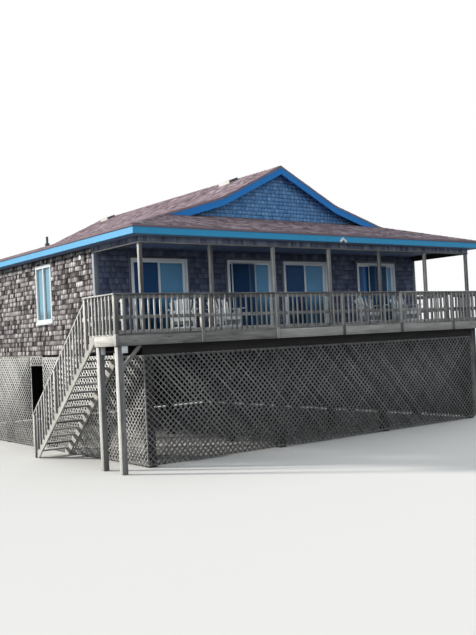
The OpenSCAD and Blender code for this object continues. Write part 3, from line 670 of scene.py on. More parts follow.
@dataclass
class Stack:
    """Boards gathered for one piece, each with its own slight twist, tone and stretch of grain."""

    rng: np.random.Generator
    chamfer: float = 0.003
    wobble: float = 0.002
    centres: list[Array] = field(default_factory=list)
    frames: list[Array] = field(default_factory=list)
    sizes: list[Array] = field(default_factory=list)

    def add(self, low: Sequence[float], high: Sequence[float], grain: Grain) -> None:
        """A square board between two corners, with its grain along X, Y or Z."""
        self.row(np.array([low], float), np.array([high], float), grain)

    def row(self, lows: Array, highs: Array, grain: Grain) -> None:
        """Square boards between arrays of corners."""
        order = [(grain.value + i) % 3 for i in range(3)]
        self.centres.extend((lows + highs) / 2)
        self.frames.extend([np.eye(3)[order]] * len(lows))
        self.sizes.extend((highs - lows)[:, order])

    def tilt(self, start: Sequence[float], end: Sequence[float], across: Sequence[float],
             width: float, depth: float) -> None:
        """A board from one point to another along its own middle.

        Args:
            start: middle of one end.
            end: middle of the other end.
            across: the way its width runs.
            width: size along across.
            depth: size square to both.
        """
        start, end = np.array(start, float), np.array(end, float)
        length = np.linalg.norm(end - start)
        along = (end - start) / length
        side = np.array(across, float) - np.dot(across, along) * along
        side /= np.linalg.norm(side)
        self.centres.append((start + end) / 2)
        self.frames.append(np.array([along, side, np.cross(along, side)]))
        self.sizes.append(np.array([length, width, depth]))

    def shape(self) -> Shape:
        """The boards as one mesh.

        A point is its centre plus, along each of the board's axes, its sign times half the size less the
        chamfer. A small random turn w changes the axes a to a + w x a. U runs along the grain, and V is
        the sum of the two places across it.
        """
        count = len(self.centres)
        centres, frames, sizes = (np.array(x) for x in (self.centres, self.frames, self.sizes))
        turn = self.rng.normal(0, self.wobble, (count, 1, 3)) / np.maximum(sizes[:, :1, None], 1.0)
        frames = frames + np.cross(np.broadcast_to(turn, frames.shape), frames)
        chamfer = np.minimum(self.chamfer, sizes.min(1) * CHAMFER_SHARE)[:, None, None]
        local = BOX_SIGNS * (sizes[:, None] / 2 - chamfer * BOX_INSETS)
        points = centres[:, None] + np.einsum("nvi,nij->nvj", local, frames)
        shift = self.rng.uniform(0, GRAIN_SHIFT, (2, count, 1))
        uv = np.stack([local[..., 0] + shift[0], local[..., 1] + local[..., 2] + shift[1]], -1)
        tone = self.rng.uniform(-1, 1, count)
        starts = len(BOX_SIGNS) * np.arange(count)[:, None, None]
        blocks = (BOX_QUADS, BOX_TRIS)
        faces = [(f + starts).reshape(-1, f.shape[1]) for f in blocks]
        uvs = [uv[:, f].reshape(-1, f.shape[1], 2) for f in blocks]
        return Shape(points.reshape(-1, 3), faces, uvs, [np.repeat(tone, len(f)) for f in blocks])


@dataclass(frozen=True)
class Plane:
    """A flat face that shingles cover: where u and v start, and the ways that they run."""

    origin: tuple[float, float, float]
    along: tuple[float, float, float]
    up: tuple[float, float, float]

    def at(self, u: Array, v: Array, w: Array) -> Array:
        """Points origin + u along + v up + w out, where out is along x up."""
        out = np.cross(self.along, self.up)
        ways = [x[..., None] * np.array(way) for x, way in ((u, self.along), (v, self.up), (w, out))]
        return np.array(self.origin) + ways[0] + ways[1] + ways[2]


Reach = Callable[[Array], Array]
PRISM = np.array([[4, 5, 6, 7], [3, 2, 1, 0], [0, 1, 5, 4], [1, 2, 6, 5], [2, 3, 7, 6], [3, 0, 4, 7]])


def prisms(points: Array, uv: Array, tone: Array) -> Shape:
    """Closed six-sided solids, each between a ring of four points and the ring over it.

    Args:
        points: their points, (n, 8, 3), with the lower ring first.
        uv: the same points' places in the grain, (n, 8, 2).
        tone: one tone for each solid.

    Returns:
        The solids as one shape.
    """
    faces = (PRISM + 8 * np.arange(len(points))[:, None, None]).reshape(-1, 4)
    uvs, tones = uv[:, PRISM].reshape(-1, 4, 2), np.repeat(tone, len(PRISM))
    return Shape(points.reshape(-1, 3), [faces], [uvs], [tones])


def cut_rows(cells: Array, low: float, high: float) -> Array:
    """Cells kept between two heights; a cell's columns are u0, u1, v0, v1, w0, w1 and tone.

    The thickness at a cut is the wedge's own there: w0 + (w1 - w0) (v - v0) / (v1 - v0).
    """
    out = cells.copy()
    span = cells[:, 3] - cells[:, 2]
    out[:, 2], out[:, 3] = np.maximum(cells[:, 2], low), np.minimum(cells[:, 3], high)
    for v, w in ((2, 4), (3, 5)):
        out[:, w] = cells[:, 4] + (cells[:, 5] - cells[:, 4]) * (out[:, v] - cells[:, 2]) / span
    return out


def cut_hole(cells: Array, hole: tuple[float, float, float, float]) -> Array:
    """Cells with a rectangle u0, u1, v0, v1 taken out: each is split below, above, left and right of it."""
    u0, u1, v0, v1 = hole
    hit = (cells[:, 3] > v0) & (cells[:, 2] < v1) & (cells[:, 1] > u0) & (cells[:, 0] < u1)
    inside = cells[hit]
    level = cut_rows(inside, v0, v1)
    left, right = level.copy(), level.copy()
    left[:, 1] = np.minimum(left[:, 1], u0)
    right[:, 0] = np.maximum(right[:, 0], u1)
    below, above = cut_rows(inside, -math.inf, v0), cut_rows(inside, v1, math.inf)
    out = np.concatenate([cells[~hit], below, above, left, right])
    return out[(out[:, 1] - out[:, 0] > SLIVER) & (out[:, 3] - out[:, 2] > SLIVER)]


@dataclass(frozen=True)
class Courses:
    """Rows of shingles of random widths, each a wedge that is thick at its butt and thin at its head.

    Each one sinks a little into what it lies on. One whose ends a slope cuts off falls away where it gets
    narrower than least, and keeps at least tip of its head.
    """

    exposure: float
    narrow: float
    wide: float
    butt: tuple[float, float]
    gap: float = 0.004
    lap: float = 0.02
    stagger: float = 0.0
    head: float = 0.001
    sink: float = 0.001
    least: float = 0.012
    tip: float = 0.002

    def cells(self, height: float, half: float, rng: np.random.Generator) -> Array:
        """Cells of every row, whose joints are the running sum of its widths from a random start.

        Args:
            height: where the last row is cut off.
            half: how far the rows reach on both sides.
            rng: the source of widths, starts, butts and tones.

        Returns:
            One row of u0, u1, v0, v1, w0, w1 and tone for each shingle.
        """
        rows = math.ceil(height / self.exposure)
        count = int(2 * half / self.narrow) + 3
        widths = rng.uniform(self.narrow, self.wide, (rows, count))
        ends = np.cumsum(widths, 1) - half - rng.uniform(0, self.wide, (rows, 1))
        v0 = self.exposure * np.arange(rows)[:, None] + rng.uniform(-1, 1, ends.shape) * self.stagger
        v0[0] = 0.0
        v1 = np.broadcast_to((self.exposure * (np.arange(rows) + 1) + self.lap)[:, None], ends.shape)
        butt = rng.uniform(*self.butt, ends.shape)
        tone = np.clip(rng.normal(0, 0.5, ends.shape), -1, 1)
        head = np.full(ends.shape, self.head)
        out = np.stack([ends - widths + self.gap, ends, v0, v1, butt, head, tone], -1).reshape(-1, 7)
        out = out[(out[:, 1] > -half) & (out[:, 0] < half)]
        return cut_rows(out, 0.0, height)

    def shape(self, plane: Plane, cells: Array, reach: Reach, rng: np.random.Generator) -> Shape:
        """The cells as wedges, with the ends of each clipped to the reach at its own foot and head.

        Args:
            plane: the face that they lie on.
            cells: rows of u0, u1, v0, v1, w0, w1 and tone.
            reach: how far they may go on both sides of the middle, at each height.
            rng: the source of each one's stretch of grain.

        Returns:
            One closed six-sided solid for each cell.
        """
        ends = reach(cells[:, 2:4])
        u0 = np.clip(cells[:, :1], -ends, ends)
        u1 = np.clip(cells[:, 1:2], -ends, ends)
        keep = (u1 - u0).max(1) > self.least
        u0, u1, cells = u0[keep], u1[keep], cells[keep]
        u1 = np.maximum(u1, u0 + self.tip)
        u = np.stack([u0[:, 0], u1[:, 0], u1[:, 1], u0[:, 1]] * 2, 1)
        v = cells[:, [2, 2, 3, 3] * 2]
        w = np.concatenate([np.full((len(cells), 4), -self.sink), cells[:, [4, 4, 5, 5]]], 1)
        shift = rng.uniform(0, GRAIN_SHIFT, (len(cells), 1))
        shape = prisms(plane.at(u, v, w), np.stack([v + w + shift, u + shift], -1), cells[:, 6])
        shape.rises.append(np.broadcast_to([0.0, 0.0, 1.0, 1.0] * 2, (len(cells), 8))[:, PRISM])
        return shape


@dataclass
class Palette:
    """Every finish of the house, made once."""

    blind_x: float = 9.35
    made: dict[str, Material] = field(default_factory=dict)

    def __post_init__(self) -> None:
        """Makes the materials of all the finishes."""
        grey = ("#f0eee8", "#a2a09e", "#535354")
        pale = ("#f0eee6", "#bcbab5", "#757472")
        # shade: darker copies of the weathered wood, painted shade for the timbers under the house and the
        # boards behind the skirt
        shade = ("#5c5b59", "#454443", "#2d2c2b")
        wood = [Timber("weathered_board", *grey), Timber("pale_board", *pale), Timber("shaded_backing_board", *shade)]
        wood += [Timber(f"shaded_{g.name.lower()}", *shade, grain=g) for g in (Grain.X, Grain.Y, Grain.Z)]
        wood += [Timber("stringer_wood", "#f4f2ea", "#d4d2ca", "#8c8a86", grain=Grain.SLOPE,
                        pitch=math.atan2(HOUSE.riser, HOUSE.going), painted_sunlight=0.0),
                 Timber("lattice_wood", *grey, spread=0.15),
                 Timber("corner_board", "#bcc5cd", "#8d949d", "#595f69"),
                 # The header's wood is a darker, bluer copy of the weathered wood: painted shade under the eave
                 Timber("shaded_header_board", "#a6abbc", "#828a9f", "#575e72", spread=0.45, painted_sunlight=0.0)]
        cedar = ((0.0, "#2a2525"), (0.25, "#635c5c"), (0.5, "#aca6a6"), (0.75, "#dad5d4"), (1.0, "#f8f5f2"))
        # Front wall shingles: their own dark grey, with the blue of skylit shade under the porch painted in
        shaded_slate = ((0.0, "#4b536a"), (0.4, "#666f88"), (0.7, "#7b849c"), (1.0, "#929ab0"))
        blue = ((0.0, "#5f92c8"), (0.4, "#79aee6"), (0.7, "#8fc0f2"), (1.0, "#aad2f9"))
        low, high, fold = HOUSE.deck, HOUSE.deck + HOUSE.door_head, (self.blind_x - ORIGIN[0], "#5c93cc")
        finishes = wood + [
            # joint is the depth of painted shade, with some dirt, along the butt lines
            Shakes("wall_shakes", cedar, "#4b4544", 0.26, joint=0.74, flat=0.46),
            Shakes("front_shingles", shaded_slate, "#474e62", 0.3, 0.002, 0.25, 0.35),
            Shakes("gable_shingles", blue, "#6797cf", 0.25, 0.0015, 0.6, 0.3, 0.4),
            Asphalt(),
            Paint("blue_paint", "#38a2d4", "#50b0de", "#28749f"),
            Paint("barge_paint", "#2183d2", "#3490db", "#1c5e9b"),
            Paint("soffit_paint", "#6d80a2", "#788cb0", "#4c5c78", 0.6, 0.7),
            Paint("white_vinyl", "#dfe6e8", "#d2dadd", "#b3b5b1", 0.25, 0.35),
            Paint("white_paint", "#f4f8fa", "#e6ecef", "#bcbebb", 0.45, 0.55),
            # A brighter copy of the white vinyl for parts in the porch's shade: painted light
            Paint("painted_light_vinyl", "#f6fafc", "#ecf1f4", "#c9cccb", 0.2, 0.35),
            Paint("lamp_white", "#f2f2ef", "#e4e3dc", "#bdb8ab", 0.3, 0.4),
            Paint("inner_wall", "#8a8378", "#999184", "#6e675d", 0.5, 0.8),
            # Glass colours are painted reflections of sky and a dim room, turning to the ends colour near each
            # pane's foot
            Glass("door_glass", "#12467c", "#20384a", low, high, folds=fold),
            Glass("slider_glass", "#78b8e2", "#1f3448", low, high),
            Glass("window_glass", "#8fc0d6", "#5f8088", low + HOUSE.sill, low + HOUSE.window_head,
                  clear=0.15, foot=0.36, crown=1.0),
            Net("insect_screen", "#2e5f96", "#33506f"),
            Metal("vent_metal", "#c9c8c2", "#a9a8a1"),
            Metal("dark_pipe", "#33383b", "#4b5154")]
        for finish in finishes:
            self.made[finish.name] = finish.material()

    def __getitem__(self, name: str) -> Material:
        """The material of that name."""
        return self.made[name]


@dataclass
class Part:
    """A part of the house, with the finishes and the random numbers that all of them share."""

    palette: Palette
    rng: np.random.Generator

    def boards(self, name: str, stack: Stack, *replaces: str, finish: str = "weathered_board") -> None:
        """Makes a piece of weathered wood that stands for the named nodes."""
        piece(name, stack.shape(), self.palette[finish], replaces=replaces)

    def dress(self, finish: str, *nodes: str) -> None:
        """Gives the frame's own nodes a finish."""
        for name in nodes:
            mesh = frame["nodes"][name].data
            mesh.materials.clear()
            mesh.materials.append(self.palette[finish])
            LOG.info("%s: dressed in %s", name, finish)


@dataclass
class Roof(Part):
    """Shingled slopes, gablets, fascias, caps, vents and the boards under the overhangs.

    Courses are laid out to a spare length past a slope's ends, and then clipped to its reach.
    """

    tabs: Courses = Courses(0.143, 0.075, 0.27, (0.004, 0.011), gap=0.0, head=0.0005)
    shingles: Courses = Courses(0.115, 0.09, 0.19, (0.007, 0.010), gap=0.003)
    spare: float = 0.5
    gable_half: float = 4.0
    clear: float = 0.01
    verge_gap: float = 0.004
    apex_gap: float = 0.03
    cap_half: float = 0.14
    cap_step: float = 0.19
    cap_lap: float = 0.03
    cap_lift: tuple[float, float] = (0.017, 0.008)
    cap_start: float = 0.08

    def slope_dirs(self, pitch: float) -> tuple[float, float]:
        """Cosine and sine of a pitch."""
        length = math.hypot(1, pitch)
        return 1 / length, pitch / length

    def side_reach(self, low: bool) -> Callable[[float], Reach]:
        """How far a side slope's courses run from the middle of the house, at each height."""
        h = HOUSE
        cos = self.slope_dirs(h.low_pitch if low else h.high_pitch)[0]
        start = -h.eave_out - h.lip if low else h.width / 2 - h.upper_half

        def reach(v: Array) -> Array:
            """Half length: from the middle to the hip line, and above it to the gablet's barge."""
            return h.middle_y - np.minimum(start + v * cos, h.gablet)

        return reach

    def side(self, name: str, right: bool) -> None:
        """Shingles on a long side: the low slope up to the break, and then the high one."""
        h = HOUSE
        sign = -1 if right else 1
        parts = []
        for low in (True, False):
            cos, sin = self.slope_dirs(h.low_pitch if low else h.high_pitch)
            run = -h.lip if low else h.break_run
            top = h.break_run if low else h.run
            x = run - h.eave_out
            foot = h.under(max(run, 0.0)) + min(run, 0.0) * h.low_pitch + h.roof_t
            origin = (h.mirror_x(x, right), h.middle_y, foot)
            plane = Plane(origin, (0, -sign, 0), (sign * cos, 0, sin))
            reach = self.side_reach(low)
            cells = self.tabs.cells((top - run) / cos, h.middle_y + self.spare, self.rng)
            parts.append(self.tabs.shape(plane, cells, reach, self.rng))
        piece(name, Shape.join(parts), self.palette["asphalt_shingles"])

    def hip(self, name: str, rear: bool) -> None:
        """Shingles on an end slope, up to the gablet wall."""
        h = HOUSE
        cos, sin = self.slope_dirs(h.low_pitch)
        sign = -1 if rear else 1
        y = -h.eave_out - h.lip
        origin = (h.width / 2, h.mirror_y(y, rear), h.eave - h.lip * h.low_pitch + h.roof_t)
        plane = Plane(origin, (sign, 0, 0), (0, sign * cos, sin))

        def reach(v: Array) -> Array:
            """Half length: from the middle to the hip line, less the roof's depth behind the barge."""
            back = y + v * cos
            return h.width / 2 - back - np.where(back > h.gablet, h.roof_t / h.low_pitch + self.clear, 0)

        cells = self.tabs.cells((h.gablet + h.gablet_set - y) / cos, h.width / 2 + self.spare, self.rng)
        shape = self.tabs.shape(plane, cells, reach, self.rng)
        piece(name, shape, self.palette["asphalt_shingles"])

    def gable(self, name: str, rear: bool) -> None:
        """Square staggered shingles on a gablet wall, between the slope below and the verge above."""
        h = HOUSE
        sign = -1 if rear else 1
        y = h.gablet + h.gablet_set
        foot = h.under(y + h.eave_out) + h.roof_t - self.clear
        plane = Plane((h.width / 2, h.mirror_y(y, rear), foot), (sign, 0, 0), (0, 0, 1))
        kink, apex = h.under(h.break_run), h.under(h.run)

        def reach(v: Array) -> Array:
            """Half width of the gablet under its roof, at each height."""
            z = v + foot
            upper, lower = (apex - z) / h.high_pitch, h.upper_half + (kink - z) / h.low_pitch
            return np.maximum(np.where(z > kink, upper, lower), 0) - self.verge_gap

        cells = self.shingles.cells(apex - foot - self.apex_gap, self.gable_half, self.rng)
        shape = self.shingles.shape(plane, cells, reach, self.rng)
        piece(name, shape, self.palette["gable_shingles"])

    def caps(self, start: Array, end: Array, side_a: Array, side_b: Array) -> Shape:
        """Bent cap shingles along a ridge or hip.

        Each cap is two wings from the line down the slopes; its foot end stands out by the butt and its head
        end lies under the next one. Points are line + s along + t wing + w out.

        Args:
            start: the line's end that the caps' feet look to.
            end: the line's other end.
            side_a: the way down one slope, square to the line.
            side_b: the way down the other slope.

        Returns:
            The caps as closed solids.
        """
        along = end - start
        length = float(np.linalg.norm(along))
        along = along / length
        count = max(int(length / self.cap_step), 1)
        step = length / count
        out = -(side_a + side_b)
        out = out / np.linalg.norm(out)
        s = step * np.arange(count)[:, None, None] + np.array([0.0, step + self.cap_lap])[None, :, None]
        s = np.minimum(s, length)
        wing = np.array([side_a * self.cap_half, np.zeros(3), side_b * self.cap_half])
        lift = np.array(self.cap_lift)[None, :, None, None] * out
        inner = start + s[..., None] * along + wing[None, None]
        points = np.stack([inner + lift * 0.1, inner + lift], 1)
        # Point order: layer (inner, outer), end (foot, head), wing tip a, line, wing tip b
        i = np.arange(12).reshape(2, 2, 3)
        quads = []
        for k in (0, 1):
            quads.append([i[1, 0, k], i[1, 0, k + 1], i[1, 1, k + 1], i[1, 1, k]])
            quads.append([i[0, 1, k], i[0, 1, k + 1], i[0, 0, k + 1], i[0, 0, k]])
            quads.append([i[0, 0, k], i[0, 0, k + 1], i[1, 0, k + 1], i[1, 0, k]])
            quads.append([i[1, 1, k], i[1, 1, k + 1], i[0, 1, k + 1], i[0, 1, k]])
        quads.append([i[0, 0, 0], i[1, 0, 0], i[1, 1, 0], i[0, 1, 0]])
        quads.append([i[0, 0, 2], i[0, 1, 2], i[1, 1, 2], i[1, 0, 2]])
        faces = np.array(quads)
        if np.dot(np.cross(side_b - side_a, along), out) < 0:
            faces = faces[:, ::-1]
        flat = points.reshape(count, 12, 3)
        wide = np.array([-self.cap_half, 0, self.cap_half])
        uv = np.stack([np.broadcast_to(x, (count, 2, 3)) for x in (s, wide)], -1)
        uv = np.concatenate([uv, uv], 1).reshape(count, 12, 2)
        tone = np.clip(self.rng.normal(0, 0.4, count), -1, 1)
        return Shape(flat.reshape(-1, 3), [(faces + 12 * np.arange(count)[:, None, None]).reshape(-1, 4)],
                     [uv[:, faces].reshape(-1, 4, 2)], [np.repeat(tone, len(faces))])

    def top(self, x: float, y: float) -> Array:
        """The point of the roof's upper surface on a hip or the ridge, at a run in from the left eave."""
        return np.array([x, y, HOUSE.under(max(x + HOUSE.eave_out, 0)) + HOUSE.roof_t])

    def cap_lines(self) -> None:
        """Caps on the four hips, from the eave up to the gablet's tip, and on the ridge."""
        h = HOUSE
        cos, sin = self.slope_dirs(h.low_pitch)
        low = self.top(-h.eave_out + self.cap_start, -h.eave_out + self.cap_start)
        high = self.top(h.gablet, h.gablet)
        shapes = []
        for flip_x in (False, True):
            for flip_y in (False, True):
                ends = np.array([low, high])
                ends[:, 0] = h.mirror_x(ends[:, 0], flip_x)
                ends[:, 1] = h.mirror_y(ends[:, 1], flip_y)
                line = (ends[1] - ends[0]) / np.linalg.norm(ends[1] - ends[0])
                wings = []
                for normal in (np.array([-sin, 0, cos]), np.array([0, -sin, cos])):
                    normal = normal * [-1 if flip_x else 1, -1 if flip_y else 1, 1]
                    wing = np.cross(line, normal)
                    wing *= np.sign(-wing[2]) or 1
                    wings.append(wing / np.linalg.norm(wing))
                shapes.append(self.caps(ends[0], ends[1], wings[0], wings[1]))
        cos, sin = self.slope_dirs(h.high_pitch)
        ridge = self.top(h.width / 2, h.gablet)
        far = ridge + [0, 2 * (h.middle_y - h.gablet), 0]
        shapes.append(self.caps(far, ridge, np.array([-cos, 0, -sin]), np.array([cos, 0, -sin])))
        piece("roof_caps", Shape.join(shapes), self.palette["asphalt_shingles"])

    def drips(self) -> None:
        """A thin dark drip edge under the shingles, along the fascias and over the barge boards."""
        h = HOUSE
        stack = Stack(self.rng, 0.001, 0.0)
        out, deep, tall, down = h.eave_out, 0.006, 0.024, 0.001
        z0, z1 = h.eave - tall, h.eave - down
        y1 = 2 * h.middle_y + out
        for y in (-out - deep, y1):
            stack.add((-out - deep, y, z0), (h.width + out + deep, y + deep, z1), Grain.X)
        for x in (-out - deep, h.width + out):
            stack.add((x, -out, z0), (x + deep, y1, z1), Grain.Y)
        for y in (h.gablet - deep / 2, 2 * h.middle_y - h.gablet + deep / 2):
            first, last = h.gablet + out + 0.2, h.run - 0.005
            for runs in ((first, h.break_run), (h.break_run, last)):
                ends = np.array([[r - out, y, h.under(r) - tall / 2] for r in runs])
                for side in (ends, ends * [-1, 1, 1] + [h.width, 0, 0]):
                    stack.tilt(side[0], side[1], (0, 1, 0), deep, tall * 0.9)
        piece("drip_edges", stack.shape(), self.palette["soffit_paint"])

    def lenses(self) -> None:
        """A shallow glass dome in the mouth of each floodlight.

        A point at radius r and angle t is centre + r (cos t side + sin t up) + bulge (1 - (r / R)^2) out.
        """
        lean, reach, radius, bulge = math.radians(50), 0.141, 0.035, 0.008
        rings, spokes = 6, 24
        mount = np.array([6.274, -HOUSE.eave_out - 0.04, HOUSE.plate + 0.09])
        shapes = []
        for s in (-1, 1):
            out = np.array([-s * math.sin(lean), 0.0, -math.cos(lean)])
            centre = mount + out * reach
            side, up = np.array([0.0, 1.0, 0.0]), np.cross(out, (0.0, 1.0, 0.0))
            r, t = np.meshgrid(np.linspace(0.05, 1, rings) * radius,
                               np.linspace(0, 2 * math.pi, spokes, endpoint=False), indexing="ij")
            rise = bulge * (1 - (r / radius) ** 2)
            points = centre + r[..., None] * (np.cos(t)[..., None] * side + np.sin(t)[..., None] * up)
            points = (points + rise[..., None] * out).reshape(-1, 3)
            i, j = np.meshgrid(np.arange(rings - 1), np.arange(spokes), indexing="ij")
            near, far, k = spokes * i, spokes * (i + 1), (j + 1) % spokes
            faces = np.stack([near + j, far + j, far + k, near + k], -1).reshape(-1, 4)
            cap = np.arange(spokes)[None]
            blocks = [faces, cap, ((rings - 1) * spokes + cap)[:, ::-1]]
            shapes.append(Shape(points, blocks, [points[f][..., :2] for f in blocks],
                                [np.zeros(len(f)) for f in blocks]))
        piece("flood_lenses", Shape.join(shapes), self.palette["lamp_white"])

    def soffits(self) -> None:
        """Boards under the eaves and the porch, and under each gablet's verge."""
        h = HOUSE
        step, thick, gap, off, slant_t = 0.089, 0.009, 0.003, 0.0005, 0.012
        stack = Stack(self.rng, 0.002, 0.0)
        inner = -h.eave_out + h.fascia_t + 0.002

        def strip(x0: float, x1: float, y0: float, y1: float, grain: Grain) -> None:
            """Boards side by side over a rectangle of the soffit."""
            across, along, ways = 1 - grain.value, grain.value, ((x0, x1), (y0, y1))
            base, span = ways[across][0], ways[across][1] - ways[across][0]
            count = max(int(round(span / step)), 1)
            lo = np.arange(count) * span / count
            hi = lo + span / count - gap
            lows, highs = np.zeros((count, 3)), np.zeros((count, 3))
            lows[:, 2], highs[:, 2] = h.plate - thick, h.plate - off
            lows[:, across], highs[:, across] = base + lo, base + hi
            lows[:, along], highs[:, along] = ways[along]
            stack.row(lows, highs, grain)

        wall = h.faces[0] - 0.001
        far_x = h.width - wall
        strip(inner, h.width - inner, inner, wall, Grain.X)
        strip(inner, h.width - inner, h.depth + 0.001, h.rear_eave - h.fascia_t - 0.002, Grain.X)
        strip(inner, wall, wall, h.depth, Grain.Y)
        strip(far_x, h.width - inner, wall, h.depth, Grain.Y)
        strip(h.half_post, h.width - h.half_post, h.half_post, h.porch - 0.02, Grain.X)
        for rear in (False, True):
            y0, y1 = sorted(h.mirror_y(y, rear) for y in (h.gablet + h.fascia_t, h.gablet + h.gablet_set))
            first, last = h.gablet + h.eave_out + 0.45, h.run - 0.01
            for right in (False, True):
                for runs in ((first, h.break_run), (h.break_run, last)):
                    ends = np.array([[r - h.eave_out, (y0 + y1) / 2, h.under(r) - 0.008] for r in runs])
                    ends[:, 0] = h.mirror_x(ends[:, 0], right)
                    stack.tilt(ends[0], ends[1], (0, 1, 0), y1 - y0, slant_t)
        piece("soffit_boards", stack.shape(), self.palette["soffit_paint"])

    def vent_louvre_shade(self) -> None:
        """A dark plate in each end of the two box vents, along the roof's slope: painted shade of a louvre
        opening.
        """
        h = HOUSE
        stack = Stack(np.random.default_rng(SEED + 1), 0.001, 0.0)
        places, half, thick, tall = (h.gablet + 2.325, 2 * h.middle_y - h.gablet - 1.03), 0.28, 0.008, 0.058
        for y in (place + side * half for place in places for side in (-1, 1)):
            ends = [(x, y, h.under(x + h.eave_out) + h.roof_t + lift)
                    for x, lift in ((h.width / 2 - 0.405, 0.062), (h.width / 2 - 0.095, 0.045))]
            stack.tilt(ends[0], ends[1], (0, 1, 0), thick, tall)
        piece("vent_louvre_shade", stack.shape(), self.palette["dark_pipe"])

    def build(self) -> None:
        """Makes every piece of the roof and dresses its nodes."""
        self.side("left_roof_shingles", False)
        self.side("right_roof_shingles", True)
        self.hip("front_roof_shingles", False)
        self.hip("rear_roof_shingles", True)
        self.gable("front_gable_shingles", False)
        self.gable("rear_gable_shingles", True)
        self.cap_lines()
        self.drips()
        self.soffits()
        self.lenses()
        self.vent_louvre_shade()
        self.dress("asphalt_shingles", "roof_left", "roof_right", "roof_front", "roof_rear")
        self.dress("gable_shingles", "gable_walls")
        self.dress("blue_paint", "fascia_boards")
        self.dress("barge_paint", "barge_boards")
        self.dress("soffit_paint", "ceiling")
        self.dress("vent_metal", "roof_vents")
        self.dress("dark_pipe", "vent_pipe")
        self.dress("lamp_white", "porch_lamps")


@dataclass(frozen=True)
class Hole:
    """A rectangle in a wall: its near and far edges along the wall, and its foot and head above the deck."""

    near: float
    far: float
    foot: float
    head: float


